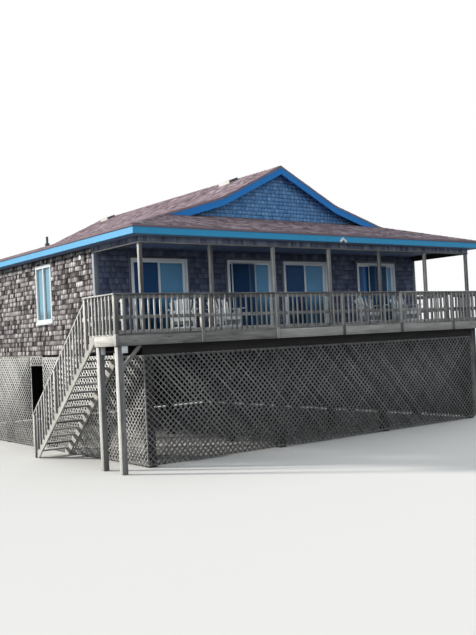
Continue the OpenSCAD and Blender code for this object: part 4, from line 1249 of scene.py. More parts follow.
@dataclass
class Walls(Part):
    """Shingled walls with their corner boards, casings and sills."""

    shakes: Courses = Courses(0.138, 0.075, 0.165, (0.010, 0.018), gap=0.006, stagger=0.012)
    plain: Courses = Courses(0.150, 0.10, 0.26, (0.006, 0.010), gap=0.004, stagger=0.002)
    window: Hole = Hole(4.825, 5.865, HOUSE.sill, HOUSE.window_head)
    doors: tuple[tuple[float, float], ...] = ((1.008, 1.79), (4.174, 1.69), (6.292, 1.79), (9.436, 1.79))
    parked: tuple[tuple[float, float], ...] = ((4.332, 5.219), (9.965, 10.865))
    casing: float = 0.055
    corner: float = 0.09
    trim_t: float = 0.022

    @property
    def window_wide(self) -> float:
        """Width of a window's hole."""
        return self.window.far - self.window.near

    def shake_wall(self, name: str, plane: Plane, length: float,
                   spans: Sequence[tuple[float, float]]) -> None:
        """Shakes from a wall's skirt to just under the soffit, around windows between two places each."""
        skirt = HOUSE.skirt
        holes = [(near, far, self.window.foot + skirt, self.window.head + skirt) for near, far in spans]
        self.cover(name, plane, length, HOUSE.ceiling + skirt - HOUSE.top_gap, self.shakes, "wall_shakes",
                   holes)

    def cover(self, name: str, plane: Plane, length: float, height: float, courses: Courses, finish: str,
              holes: Sequence[tuple[float, float, float, float]]) -> None:
        """Shingles over a wall with holes, where u runs from the middle of the wall.

        Args:
            name: the piece's name.
            plane: the wall's face.
            length: how far the shingles go along it.
            height: how far they go up it.
            courses: their sizes.
            finish: the name of their finish and of its slot.
            holes: rectangles u0, u1, v0, v1 that stay bare.
        """
        cells = courses.cells(height, length / 2, self.rng)
        for hole in holes:
            cells = cut_hole(cells, hole)
        shape = courses.shape(plane, cells, lambda v: np.full(v.shape, length / 2), self.rng)
        piece(name, shape, self.palette[finish])

    def side(self, name: str, right: bool) -> None:
        """A side wall's shakes, from its skirt to the soffit, between the corner boards."""
        h = HOUSE
        y0, y1 = h.porch + self.corner, h.depth - self.corner
        middle, sign = (y0 + y1) / 2, -1 if right else 1
        plane = Plane((h.faces[int(right)], middle, h.deck - h.skirt), (0, -sign, 0), (0, 0, 1))
        near, far = self.window.near - middle, self.window.far - middle
        self.shake_wall(name, plane, y1 - y0, [(near, far) if right else (-far, -near)])

    def rear(self) -> None:
        """The rear wall's shakes."""
        h = HOUSE
        x0, x1 = h.faces[0] + self.corner, h.faces[1] - self.corner
        plane = Plane((h.width / 2, h.depth, h.deck - h.skirt), (-1, 0, 0), (0, 0, 1))
        half = self.window_wide / 2
        spans = [(s * h.width / 4 - half, s * h.width / 4 + half) for s in (-1, 1)]
        self.shake_wall("rear_shakes", plane, x1 - x0, spans)

    def front(self) -> None:
        """The front wall's shingles, around the door casings."""
        h = HOUSE
        length = h.width + 2 * h.half_post - 2 * self.corner
        plane = Plane((h.width / 2, h.porch, h.deck), (1, 0, 0), (0, 0, 1))
        holes = [(x - self.casing - h.width / 2, x + w + self.casing - h.width / 2, -1.0,
                  h.door_head + self.casing) for x, w in self.doors]
        # The front wall's shingles wear a blue cast of painted shade over their own dark grey
        self.cover("front_wall_shingles", plane, length, h.ceiling - h.top_gap, self.plain, "front_shingles",
                   holes)

    def trim(self) -> None:
        """Corner boards, and door casings with a drip cap."""
        h = HOUSE
        stack = Stack(self.rng)
        t, c = self.trim_t, self.corner
        foot, floor, head = h.deck - h.skirt, h.deck + 0.002, h.plate - h.top_gap
        cap_over, cap_deep, cap_t = 0.015, 0.02, 0.014
        for x, s in zip(h.faces, (-1, 1)):
            xs = sorted((x, x + s * t))
            stack.add((xs[0], h.porch - t, foot), (xs[1], h.porch + c, head), Grain.Z)
            stack.add((xs[0], h.depth - c, foot), (xs[1], h.depth + t, head), Grain.Z)
            xs = sorted((x, x - s * c))
            stack.add((xs[0], h.porch - t, floor), (xs[1], h.porch, h.deck + h.header), Grain.Z)
            stack.add((xs[0], h.depth, foot), (xs[1], h.depth + t, head), Grain.Z)
        for x, w in self.doors:
            door_top = h.deck + h.door_head
            for x0 in (x - self.casing, x + w):
                stack.add((x0, h.porch - t, floor), (x0 + self.casing, h.porch, door_top), Grain.Z)
            x0, x1, top = x - self.casing, x + w + self.casing, door_top + self.casing
            stack.add((x0, h.porch - t, door_top), (x1, h.porch, top), Grain.X)
            stack.add((x0 - cap_over, h.porch - t - cap_deep, top),
                      (x1 + cap_over, h.porch, top + cap_t), Grain.X)
        self.boards("corner_boards_and_casings", stack, finish="corner_board")

    def window_trim(self) -> None:
        """A white sill board under each window, a little wider than it, and a thin head flashing."""
        h = HOUSE
        stack = Stack(self.rng, 0.003, 0.0)
        foot, head = h.deck + self.window.foot, h.deck + self.window.head
        near, far, half = self.window.near, self.window.far, self.window_wide / 2
        sill_out, sill_over, low, high = 0.045, 0.04, foot - 0.085, foot - 0.001
        flash_out, flash_over, flash_t = 0.032, 0.01, 0.012
        for x, s in zip(h.faces, (-1, 1)):
            xs = sorted((x, x + s * sill_out))
            stack.add((xs[0], near - sill_over, low), (xs[1], far + sill_over, high), Grain.Y)
            xs = sorted((x, x + s * flash_out))
            stack.add((xs[0], near - flash_over, head), (xs[1], far + flash_over, head + flash_t), Grain.Y)
        for x in (h.width / 4, 3 * h.width / 4):
            stack.add((x - half - sill_over, h.depth, low), (x + half + sill_over, h.depth + sill_out, high),
                      Grain.X)
        piece("window_sills", stack.shape(), self.palette["white_vinyl"])

    def screens(self) -> None:
        """Insect screens parked in the outer tracks of the second and fourth doors."""
        h = HOUSE
        frames, nets = Stack(self.rng, 0.003, 0.0), Stack(self.rng, 0.0003, 0.0)
        foot, head, wide, tuck, half_net = h.deck + 0.042, h.deck + 1.983, 0.04, 0.003, 0.0005
        y0, y1 = h.porch - 0.013, h.porch + 0.007
        middle = (y0 + y1) / 2
        for x0, x1 in self.parked:
            for x in (x0, x1 - wide):
                frames.add((x, y0, foot), (x + wide, y1, head), Grain.Z)
            for z in (foot, head - wide):
                frames.add((x0 + wide, y0, z), (x1 - wide, y1, z + wide), Grain.X)
            nets.add((x0 + wide - tuck, middle - half_net, foot + wide - tuck),
                     (x1 - wide + tuck, middle + half_net, head - wide + tuck), Grain.X)
        piece("screen_frames", frames.shape(), self.palette["white_vinyl"])
        piece("screen_nets", nets.shape(), self.palette["insect_screen"])

    def pulls(self) -> None:
        """A flush pull on each sliding sash's closing stile, thin enough to pass behind the fixed sash."""
        h = HOUSE
        face, proud, pan, rim = h.porch + 0.059, 0.006, 0.002, 0.007
        inset, wide, middle, half = 0.068, 0.034, h.deck + 1.0, 0.08
        z0, z1 = middle - half, middle + half
        for i, (x, w) in enumerate(self.doors, 1):
            stack = Stack(self.rng, 0.0015, 0.0)
            x1 = x + w - inset
            x0 = x1 - wide
            for a, b in ((x0, x0 + rim), (x1 - rim, x1)):
                stack.add((a, face - proud, z0), (b, face, z1), Grain.Z)
            for a in (z0, z1 - rim):
                stack.add((x0 + rim, face - proud, a), (x1 - rim, face, a + rim), Grain.X)
            stack.add((x0 + rim, face - pan, z0 + rim), (x1 - rim, face, z1 - rim), Grain.Z)
            piece(f"door_{i}_pull", stack.shape(), self.palette["vent_metal"], body=f"door_{i}")

    def build(self) -> None:
        """Makes the cladding and trim, and dresses the walls, frames and glass."""
        doors = range(1, len(self.doors) + 1)
        self.side("left_shakes", False)
        self.side("right_shakes", True)
        self.rear()
        self.front()
        self.trim()
        self.window_trim()
        self.screens()
        self.pulls()
        self.dress("inner_wall", "left_wall", "right_wall", "rear_wall", "wall_piers", "wall_lintel")
        self.dress("white_vinyl", "window_frames")
        # Door frames and sashes wear the brighter vinyl: painted light against the porch's shade
        self.dress("painted_light_vinyl", "door_frames", "fixed_sashes", *(f"door_{i}_sash" for i in doors))
        self.dress("slider_glass", *(f"door_{i}_glass" for i in doors))
        self.dress("door_glass", "fixed_glass")
        self.dress("window_glass", "window_glass")


@dataclass
class Lattice(Part):
    """Lattice: two layers of laths that cross at right angles, nailed over a flat frame.

    The gate is the doorway in the left panel, from one place to another and up to a height.
    """

    pitch: float = 0.151
    lath: float = 0.038
    thick: float = 0.007
    border: float = 0.04
    border_t: float = 0.01
    gap: float = 0.04
    jitter: float = 0.003
    least: float = 0.03
    face_in: float = 0.006
    rear_in: tuple[float, float] = (0.04, 0.005)
    gate: tuple[float, float] = (5.7, 6.54)
    gate_top: float = 2.395
    backing_step: float = 0.19
    backing_w: tuple[float, float] = (0.001, 0.008)

    def laths(self, plane: Plane, length: float, height: float) -> Shape:
        """Both layers of a panel.

        A lath's middle is u = c + v in one layer and u = c - v in the other, from edge to edge of the panel;
        its ends are cut level, so half its width along u is lath / sqrt 2.
        """
        half = self.lath / math.sqrt(2)
        shapes = []
        for layer, lean in ((0, 1.0), (1, -1.0)):
            c = np.arange(-height if lean > 0 else 0.0, length if lean > 0 else length + height, self.pitch)
            c = c + self.rng.uniform(-self.jitter, self.jitter, len(c))
            if lean > 0:
                v0, v1 = np.maximum(0, -c), np.minimum(height, length - c)
            else:
                v0, v1 = np.maximum(0, c - length), np.minimum(height, c)
            keep = v1 - v0 > self.least
            c, v0, v1 = c[keep], v0[keep], v1[keep]
            low, high = c + lean * v0, c + lean * v1
            u = np.stack([low - half, low + half, high + half, high - half] * 2, 1).clip(0, length)
            v = np.stack([v0, v0, v1, v1] * 2, 1)
            w0 = self.border_t + self.thick * layer
            w = np.broadcast_to(np.repeat([w0, w0 + self.thick], 4), u.shape)
            shift = self.rng.uniform(0, GRAIN_SHIFT, (len(c), 1))
            uv = np.stack([v * math.sqrt(2) + shift, u - lean * v + w], -1)
            shapes.append(prisms(plane.at(u, v, w), uv, self.rng.uniform(-1, 1, len(c))))
        return Shape.join(shapes)

    def border_boards(self, plane: Plane, length: float, height: float, grains: tuple[Grain, Grain]) -> Shape:
        """The frame's four flat boards, behind the laths."""
        stack = Stack(self.rng, 0.002, 0.001)
        b = self.border
        boxes = [(0, length, 0, b), (0, length, height - b, height), (0, b, b, height - b),
                 (length - b, length, b, height - b)]
        for i, (u0, u1, v0, v1) in enumerate(boxes):
            ends = plane.at(np.array([u0, u1]), np.array([v0, v1]), np.array([0.0, self.border_t]))
            stack.add(ends.min(0), ends.max(0), grains[0] if i < 2 else grains[1])
        return stack.shape()

    def backing(self, name: str, plane: Plane, length: float, height: float) -> None:
        """Upright boards behind a panel's laths, so that no light shows through it, in the darker wood of
        painted shade.

        Args:
            name: the piece's name.
            plane: the panel's face.
            length: how far the boards go along it.
            height: how far they go up it.
        """
        stack, joint = Stack(self.rng, 0.001, 0.0), 0.001
        count = round(length / self.backing_step)
        wide = length / count
        for u in np.arange(count) * wide:
            ends = plane.at(np.array([u, u + wide - joint]), np.array([0.0, height]), np.array(self.backing_w))
            stack.add(ends.min(0), ends.max(0), Grain.Z)
        piece(name, stack.shape(), self.palette["shaded_backing_board"])

    def panel(self, plane: Plane, length: float, height: float, grain: Grain) -> Shape:
        """Laths and frame of one panel."""
        return Shape.join([self.laths(plane, length, height),
                           self.border_boards(plane, length, height, (grain, Grain.Z))])

    def build(self) -> None:
        """Makes the skirt on all four sides, with the doorway in the left one."""
        h = HOUSE
        low, wood = self.gap, self.palette["lattice_wood"]
        girder, skirt = h.deck - h.board - 2 * h.rim, h.deck - h.skirt
        face, depth = h.half_post - self.face_in, 2 * self.thick + self.border_t
        front = Plane((h.faces[0], -face + depth, low), (1, 0, 0), (0, 0, 1))
        shape = self.panel(front, h.width + 2 * h.half_post, girder - low, Grain.X)
        piece("front_lattice_laths", shape, wood, replaces=["front_lattice"])
        end_in, deep_in = self.rear_in
        rear = Plane((h.faces[1] - end_in, h.depth - deep_in - depth, low), (-1, 0, 0), (0, 0, 1))
        rear_long, side_long = h.width + 2 * h.half_post - 2 * end_in, h.depth + face - depth
        shape = self.panel(rear, rear_long, skirt - low, Grain.X)
        piece("rear_lattice_laths", shape, wood, replaces=["rear_lattice"])
        self.backing("rear_skirt_boards", rear, rear_long, skirt - low)
        right = Plane((h.width + face - depth, -face + depth, low), (0, 1, 0), (0, 0, 1))
        shape = self.panel(right, side_long, girder - low, Grain.Y)
        piece("right_lattice_laths", shape, wood, replaces=["right_lattice"])
        self.backing("right_skirt_boards", right, side_long, girder - low)

        def left(y0: float, y1: float, z0: float, z1: float) -> Shape:
            """A panel of the left side between two places and two heights."""
            return self.panel(Plane((-face + depth, y1, z0), (0, -1, 0), (0, 0, 1)), y1 - y0, z1 - z0, Grain.Y)

        near, far = self.gate
        piece("left_lattice_laths", left(-face + depth, near, low, girder), wood,
              replaces=["left_lattice_front"])
        parts = [left(far, h.depth, low, skirt), left(near, far, self.gate_top, skirt)]
        piece("left_lattice_rear_laths", Shape.join(parts), wood,
              replaces=["left_lattice_rear"])


@dataclass
class Deck(Part):
    """The deck, its rims, posts and railings, and the stair with its rail.

    The newels' numbers count the stair's treads down from the deck.
    """

    joist_step: float = 0.508
    board_gap: float = 0.006
    joint: float = 0.002
    risers: int = 16
    nosing: float = 0.025
    newels: tuple[int, int, int] = (1, 9, 15)
    newel_set: float = 0.015
    leg_in: float = 0.255
    brace: float = 0.495
    brace_t: float = 0.088
    stringer_drop: float = 0.42
    landing_post: float = 0.14
    rail: float = 0.914
    post: float = 0.09
    lap: float = 0.04
    lip: float = 0.015
    cap: float = 0.14
    bar: float = 0.038
    front_bays: int = 6
    bars: int = 13
    rail_heights: tuple[float, ...] = (0.0, 0.335, 0.796)
    flat: float = 0.08

    @property
    def slope(self) -> float:
        """Drop of the stair for each metre that it runs back."""
        return HOUSE.riser / HOUSE.going

    @property
    def rim_foot(self) -> float:
        """Height of the rims' lower edge."""
        return HOUSE.deck - HOUSE.board - HOUSE.rim

    @property
    def cap_foot(self) -> float:
        """Height of the underside of the rail caps."""
        return HOUSE.deck + self.rail - HOUSE.board

    @property
    def front(self) -> float:
        """The front of the railing posts, which lap over the front rim."""
        return -HOUSE.front_out - self.lap

    @property
    def left(self) -> float:
        """The outer face of the railing posts at the left end."""
        return -HOUSE.side_out - self.lap

    @property
    def far(self) -> float:
        """The outer face of the right rim."""
        return HOUSE.width + HOUSE.side_out

    @property
    def bay(self) -> float:
        """From one of the front railing's posts to the next."""
        return (HOUSE.width + 2 * HOUSE.side_out + 2 * self.lap - self.post) / self.front_bays

    @property
    def leg_ys(self) -> tuple[float, float]:
        """Where the fronts of a landing's two posts are."""
        return -HOUSE.front_out + HOUSE.board, HOUSE.landing - self.leg_in - self.landing_post

    def newel(self, tread: int) -> float:
        """The middle of the newel beside a tread."""
        return HOUSE.landing + (tread - 0.5) * HOUSE.going + self.newel_set

    def nose(self, y: float) -> float:
        """Height of the line through the treads' front edges."""
        return HOUSE.deck - (y - HOUSE.landing - self.nosing) * self.slope

    def floor(self) -> None:
        """Deck boards along X, each 8 joist steps long, with butt joints over the joists in turn."""
        h = HOUSE
        stack = Stack(self.rng, 0.003, 0.0008)
        low, half_gap, half_joint, rows, shortest = h.deck - h.board, self.board_gap / 2, self.joint / 2, 9, 1.0
        for y0, y1, x0, x1 in ((-h.front_out, h.landing, -h.side_out, self.far),
                               (h.landing, h.porch, *h.faces)):
            step = (y1 - y0) / rows
            for i in range(rows):
                first = self.joist_step * (3 + 4 * (i % 3))
                joints = [x0, *np.arange(first, x1 - shortest, 8 * self.joist_step), x1]
                foot, head = y0 + i * step + half_gap, y0 + (i + 1) * step - half_gap
                for a, b in zip(joints, joints[1:]):
                    stack.add((a + half_joint, foot, low), (b - half_joint, head, h.deck), Grain.X)
        self.boards("deck_boards", stack, "decking")

    def rims(self) -> None:
        """Rim boards in real lengths, joined behind the railing posts."""
        h = HOUSE
        stack = Stack(self.rng)
        z0, z1, t, far = self.rim_foot, h.deck - h.board, h.board, self.far
        stringers, joist_face = 0.6, h.width + 0.005
        joints = [-h.side_out, -h.side_out + 2 * self.bay, -h.side_out + 4 * self.bay, far]
        for a, b in zip(joints, joints[1:]):
            stack.add((a, -h.front_out, z0), (b - self.joint, -h.front_out + t, z1), Grain.X)
        stack.add((-h.side_out, -h.front_out + t, z0), (-h.side_out + t, stringers, z1), Grain.Y)
        stack.add((far - t, -h.front_out + t, z0), (far, h.landing, z1), Grain.Y)
        stack.add((joist_face, h.landing - t, z0), (far - t, h.landing, z1), Grain.X)
        self.boards("rim_boards", stack, "deck_rims", finish="pale_board")

    def legs(self) -> None:
        """The landings' posts with their knee braces."""
        h = HOUSE
        stack = Stack(self.rng, 0.006)
        s = self.landing_post
        for right in (False, True):
            x0 = -h.side_out + h.board
            x1 = x0 + s
            xs = sorted(h.mirror_x(x, right) for x in (x0, x1))
            for y in self.leg_ys:
                stack.add((xs[0], y, 0.0), (xs[1], y + s, self.rim_foot - 0.001), Grain.Z)
            low, high = ((h.mirror_x(x1 + out, right), self.leg_ys[0] + s / 2, self.rim_foot - self.brace + out)
                         for out in (0.0, self.brace))
            stack.tilt(low, high, (0, 1, 0), h.board, self.brace_t)
        self.boards("landing_post_timbers", stack, "landing_posts")

    def cards(self) -> None:
        """A bare white plate on the front of each of the left landing's posts."""
        stack, thick, gap = Stack(self.rng, 0.001, 0.0), 0.004, 0.0005
        for y, (x0, x1, tall) in zip(self.leg_ys, ((-0.83, -0.675, 0.162), (-0.887, -0.77, 0.185))):
            stack.add((x0, y - thick, self.rim_foot - tall), (x1, y, self.rim_foot - gap), Grain.X)
        # The plates wear the brighter vinyl: painted light, as their faces are in shade
        piece("post_plates", stack.shape(), self.palette["painted_light_vinyl"])

    def treads(self) -> None:
        """Two boards for each tread."""
        h = HOUSE
        stack, half = Stack(self.rng), (h.going + self.nosing) / 2
        half_gap, off, wall_gap = self.board_gap / 2, 0.001, 0.015
        for k in range(1, self.risers):
            y0, top = h.landing + (k - 1) * h.going, h.deck - k * h.riser
            for a, b in ((y0 + off, y0 + half - half_gap), (y0 + half + half_gap, y0 + 2 * half)):
                stack.add((-h.side_out, a, top - h.board), (-h.half_post - wall_gap, b, top), Grain.X)
        self.boards("stair_tread_boards", stack, "stair_treads")

    def panel(self, stack: Stack, start: Array, along: Array, inward: Array, length: float, count: int) -> None:
        """A bay of railing: flat rails behind a row of balusters.

        Args:
            stack: where the boards go.
            start: the bay's near end on the balusters' outer face, at deck level.
            along: the way that the bay runs.
            inward: the way from the balusters to the rails.
            length: the bay's length.
            count: how many balusters it has.
        """
        def box(u0: float, u1: float, w0: float, w1: float, z0: float, z1: float, grain: Grain) -> None:
            """A board at places along and in from the bay's outer face."""
            ends = np.array([start + u * along + w * inward + [0, 0, z]
                             for u, w, z in ((u0, w0, z0), (u1, w1, z1))])
            stack.add(ends.min(0), ends.max(0), grain)

        grain = Grain.X if abs(along[0]) > 0.5 else Grain.Y
        for z in self.rail_heights:
            box(0, length, self.bar, self.bar + HOUSE.board, z, z + self.flat, grain)
        pitch = length / (count + 1)
        for i in range(1, count + 1):
            place = i * pitch + float(self.rng.normal(0, 0.003))
            box(place - self.bar / 2, place + self.bar / 2, 0, self.bar, 0.0, self.rail - HOUSE.board, Grain.Z)

    def railings(self) -> None:
        """Railing bays along the front, at both ends and beside the landings."""
        h = HOUSE
        x_way, y_way, back = np.array([1.0, 0, 0]), np.array([0, 1.0, 0]), 0.004
        pitch = self.bay / (self.bars + 1)
        stack = Stack(self.rng)
        for i in range(self.front_bays):
            start = np.array([self.left + self.post + i * self.bay, self.front + back, h.deck])
            self.panel(stack, start, x_way, y_way, self.bay - self.post, self.bars)
        self.boards("front_rail_boards", stack, "front_rail")
        stack = Stack(self.rng)
        for x, way, end in ((self.left + back, x_way, self.newel(1) - self.post / 2),
                            (self.far + self.lap - back, -x_way, h.landing - self.post)):
            length = end - self.front - self.post
            self.panel(stack, np.array([x, self.front + self.post, h.deck]), y_way, way, length,
                       round(length / pitch) - 1)
        length = h.porch - h.landing - self.post
        for x, way in zip(h.faces, (x_way, -x_way)):
            self.panel(stack, np.array([x, h.landing + self.post, h.deck]), y_way, way, length,
                       round(length / pitch) - 1)
        start = np.array([h.faces[1] + self.post, h.landing - self.post / 2 + self.bar, h.deck])
        self.panel(stack, start, x_way, -y_way, h.side_out - h.half_post + self.lap - 2 * self.post, 4)
        self.boards("side_rail_boards", stack, "side_rails")

    def posts_and_caps(self) -> None:
        """Railing posts lapped over the rim, and flat cap boards that meet square at the corners."""
        h = HOUSE
        front_y, far = self.front, self.far
        stack = Stack(self.rng, 0.004)
        for i in range(self.front_bays + 1):
            x = self.left + i * self.bay
            stack.add((x, front_y, h.deck), (x + self.post, front_y + self.post, self.cap_foot), Grain.Z)
            stack.add((x, front_y, self.rim_foot), (x + self.post, front_y + self.lap, h.deck), Grain.Z)
        for xs in ((self.left, -h.side_out), (far, far + self.lap)):
            stack.add((xs[0], front_y + self.lap, self.rim_foot), (xs[1], front_y + self.post, h.deck), Grain.Z)
        for x in (h.faces[0], h.faces[1] - self.post):
            stack.add((x, h.landing, h.deck), (x + self.post, h.landing + self.post, self.cap_foot), Grain.Z)
        x = far + self.lap - self.post
        stack.add((x, h.landing - self.post, h.deck), (x + self.post, h.landing, self.cap_foot), Grain.Z)
        self.boards("rail_post_timbers", stack, "rail_posts")
        stack = Stack(self.rng, 0.004)
        z0, z1, lip, joint, wall_gap = self.cap_foot, h.deck + self.rail, self.lip, self.joint, 0.003
        y0, x0 = front_y - lip, self.left - lip
        y_in, x_in = y0 + self.cap, x0 + self.cap
        joints = [x0, x0 + 2 * self.bay, x0 + 4 * self.bay, h.width - x0]
        for a, b in zip(joints, joints[1:]):
            stack.add((a, y0, z0), (b - joint, y_in, z1), Grain.X)
        end = self.newel(1) + self.post / 2
        stack.add((x0, y_in + joint, z0), (x_in, end, z1), Grain.Y)
        stack.add((h.width - x_in, y_in + joint, z0), (h.width - x0, h.landing + lip, z1), Grain.Y)
        stack.add((h.faces[1] + lip, h.landing - self.post - lip, z0),
                  (h.width - x_in - joint, h.landing + lip, z1), Grain.X)
        for x in (h.faces[0] - lip, h.faces[1] - self.post - lip):
            stack.add((x, h.landing - lip, z0), (x + self.post + 2 * lip, h.porch - wall_gap, z1), Grain.Y)
        self.boards("rail_cap_boards", stack, "rail_caps")

    def stair_rail(self) -> None:
        """Newels, sloping rail and cap, and balusters lapped on the stringer's outer face."""
        h = HOUSE
        stack = Stack(self.rng)
        height, cap_t, depth, lapped, spacing = 0.905, 0.048, 0.109, 0.19, 0.165
        into_cap, off, past = 0.01, 0.0005, 0.03
        ends = [self.newel(k) for k in self.newels]
        lean = math.cos(math.atan(self.slope))

        def foot(y: float) -> float:
            """Where a lapped post or baluster ends above the stringer's lower edge."""
            return self.nose(y) - self.stringer_drop + lapped

        def head(y: float) -> float:
            """Under the cap at a place."""
            return self.nose(y) + height - cap_t

        for i, y in enumerate(ends):
            y0, y1 = y - self.post / 2, y + self.post / 2
            top = self.cap_foot if i == 0 else head(y1) + 2 * into_cap
            stack.add((self.left, y0, 0.0 if i == 2 else foot(y)), (-h.side_out, y1, top), Grain.Z)
            tread = h.deck - self.newels[i] * h.riser
            stack.add((-h.side_out, y0, tread), (self.left + self.post, y1, top), Grain.Z)
        for y0, y1 in zip(ends, ends[1:]):
            count = round((y1 - y0 - self.post) / spacing)
            for i in range(1, count):
                y = y0 + self.post / 2 + i * (y1 - y0 - self.post) / count
                stack.add((-h.side_out - self.bar, y - self.bar / 2, foot(y)),
                          (-h.side_out - off, y + self.bar / 2, head(y) + into_cap), Grain.Z)
        y0, y1 = ends[0] + self.post / 2, ends[2] + self.post / 2
        middle = -h.side_out + h.board / 2
        stack.tilt((middle, y0, head(y0) - depth / 2), (middle, y1, head(y1) - depth / 2), (1, 0, 0),
                   h.board, depth * lean)
        y0, y1, middle = y0 + into_cap, y1 + past, self.left + self.post / 2
        stack.tilt((middle, y0, head(y0) + cap_t / 2), (middle, y1, head(y1) + cap_t / 2), (1, 0, 0),
                   self.post, cap_t * lean)
        self.boards("stair_rail_boards", stack, "stair_rail")

    def build(self) -> None:
        """Makes the deck's pieces and dresses what stays plain."""
        self.floor()
        self.rims()
        self.legs()
        self.cards()
        self.treads()
        self.railings()
        self.posts_and_caps()
        self.stair_rail()
        self.dress("stringer_wood", "stair_stringers")
        self.dress("white_paint", "porch_chairs")
        # Timbers under the deck wear the darker copies of the wood: painted shade
        self.dress("shaded_y", "deck_joists")
        self.dress("shaded_x", "floor_girders", "house_floor")
        self.dress("shaded_z", "piles")


@dataclass
class Porch(Part):
    """Porch posts and the clad header that they carry."""

    board: tuple[float, float] = (0.07, 0.14)
    board_t: float = 0.012
    strip_h: float = 0.032
    strip_t: float = 0.02

    def build(self) -> None:
        """Makes the posts, and upright boards on the header with a strip along its foot."""
        h = HOUSE
        stack = Stack(self.rng, 0.005, 0.0015)
        p = h.half_post
        for i in range(h.bays + 1):
            x = i * h.post_step
            stack.add((x - p, -p, h.deck), (x + p, p, h.deck + h.header - 0.001), Grain.Z)
        self.boards("porch_post_timbers", stack, "porch_posts")
        stack = Stack(self.rng, 0.002, 0.0005)
        foot, head, t, off = h.deck + h.header, h.plate - h.top_gap, self.board_t, 0.0005
        low, side, short = foot + 0.02, h.porch + p - 0.03, 0.05

        def clad(length: float, make: Callable[[float, float], tuple[Array, Array]]) -> None:
            """Upright boards of random widths along a face."""
            ends = np.cumsum(self.rng.uniform(*self.board, int(length / self.board[0]) + 2))
            ends = np.concatenate([[0.0], ends[ends < length - short], [length]])
            pairs = [make(a + 0.002, b - 0.001) for a, b in zip(ends, ends[1:])]
            stack.row(np.array([q[0] for q in pairs]), np.array([q[1] for q in pairs]), Grain.Z)

        clad(h.width + 2 * p + 2 * t, lambda a, b: (np.array([a - p - t, -p - t, low]),
                                                    np.array([b - p - t, -p - off, head])))
        clad(side, lambda a, b: (np.array([-p - t, a - p, low]), np.array([-p - off, b - p, head])))
        clad(side, lambda a, b: (np.array([h.width + p + off, a - p, low]),
                                 np.array([h.width + p + t, b - p, head])))
        # The cladding wears the darker, bluer wood: painted shade under the eave
        self.boards("header_cladding", stack, finish="shaded_header_board")
        stack, t, top, end = Stack(self.rng, 0.002, 0.0005), self.strip_t, foot + self.strip_h, h.porch - 0.024
        stack.add((-p - t, -p - t, foot), (h.width + p + t, -p, top), Grain.X)
        stack.add((-p - t, -p, foot), (-p, end, top), Grain.Y)
        stack.add((h.width + p, -p, foot), (h.width + p + t, end, top), Grain.Y)
        self.boards("header_strips", stack)
        self.dress("shaded_x", "porch_header")


@dataclass(frozen=True)
class Lamp:
    """A distant light, as soft as the angle in degrees that it spreads over."""

    name: str
    energy: float
    tint: tuple[float, float, float]
    angle: float
    toward: tuple[float, float, float]


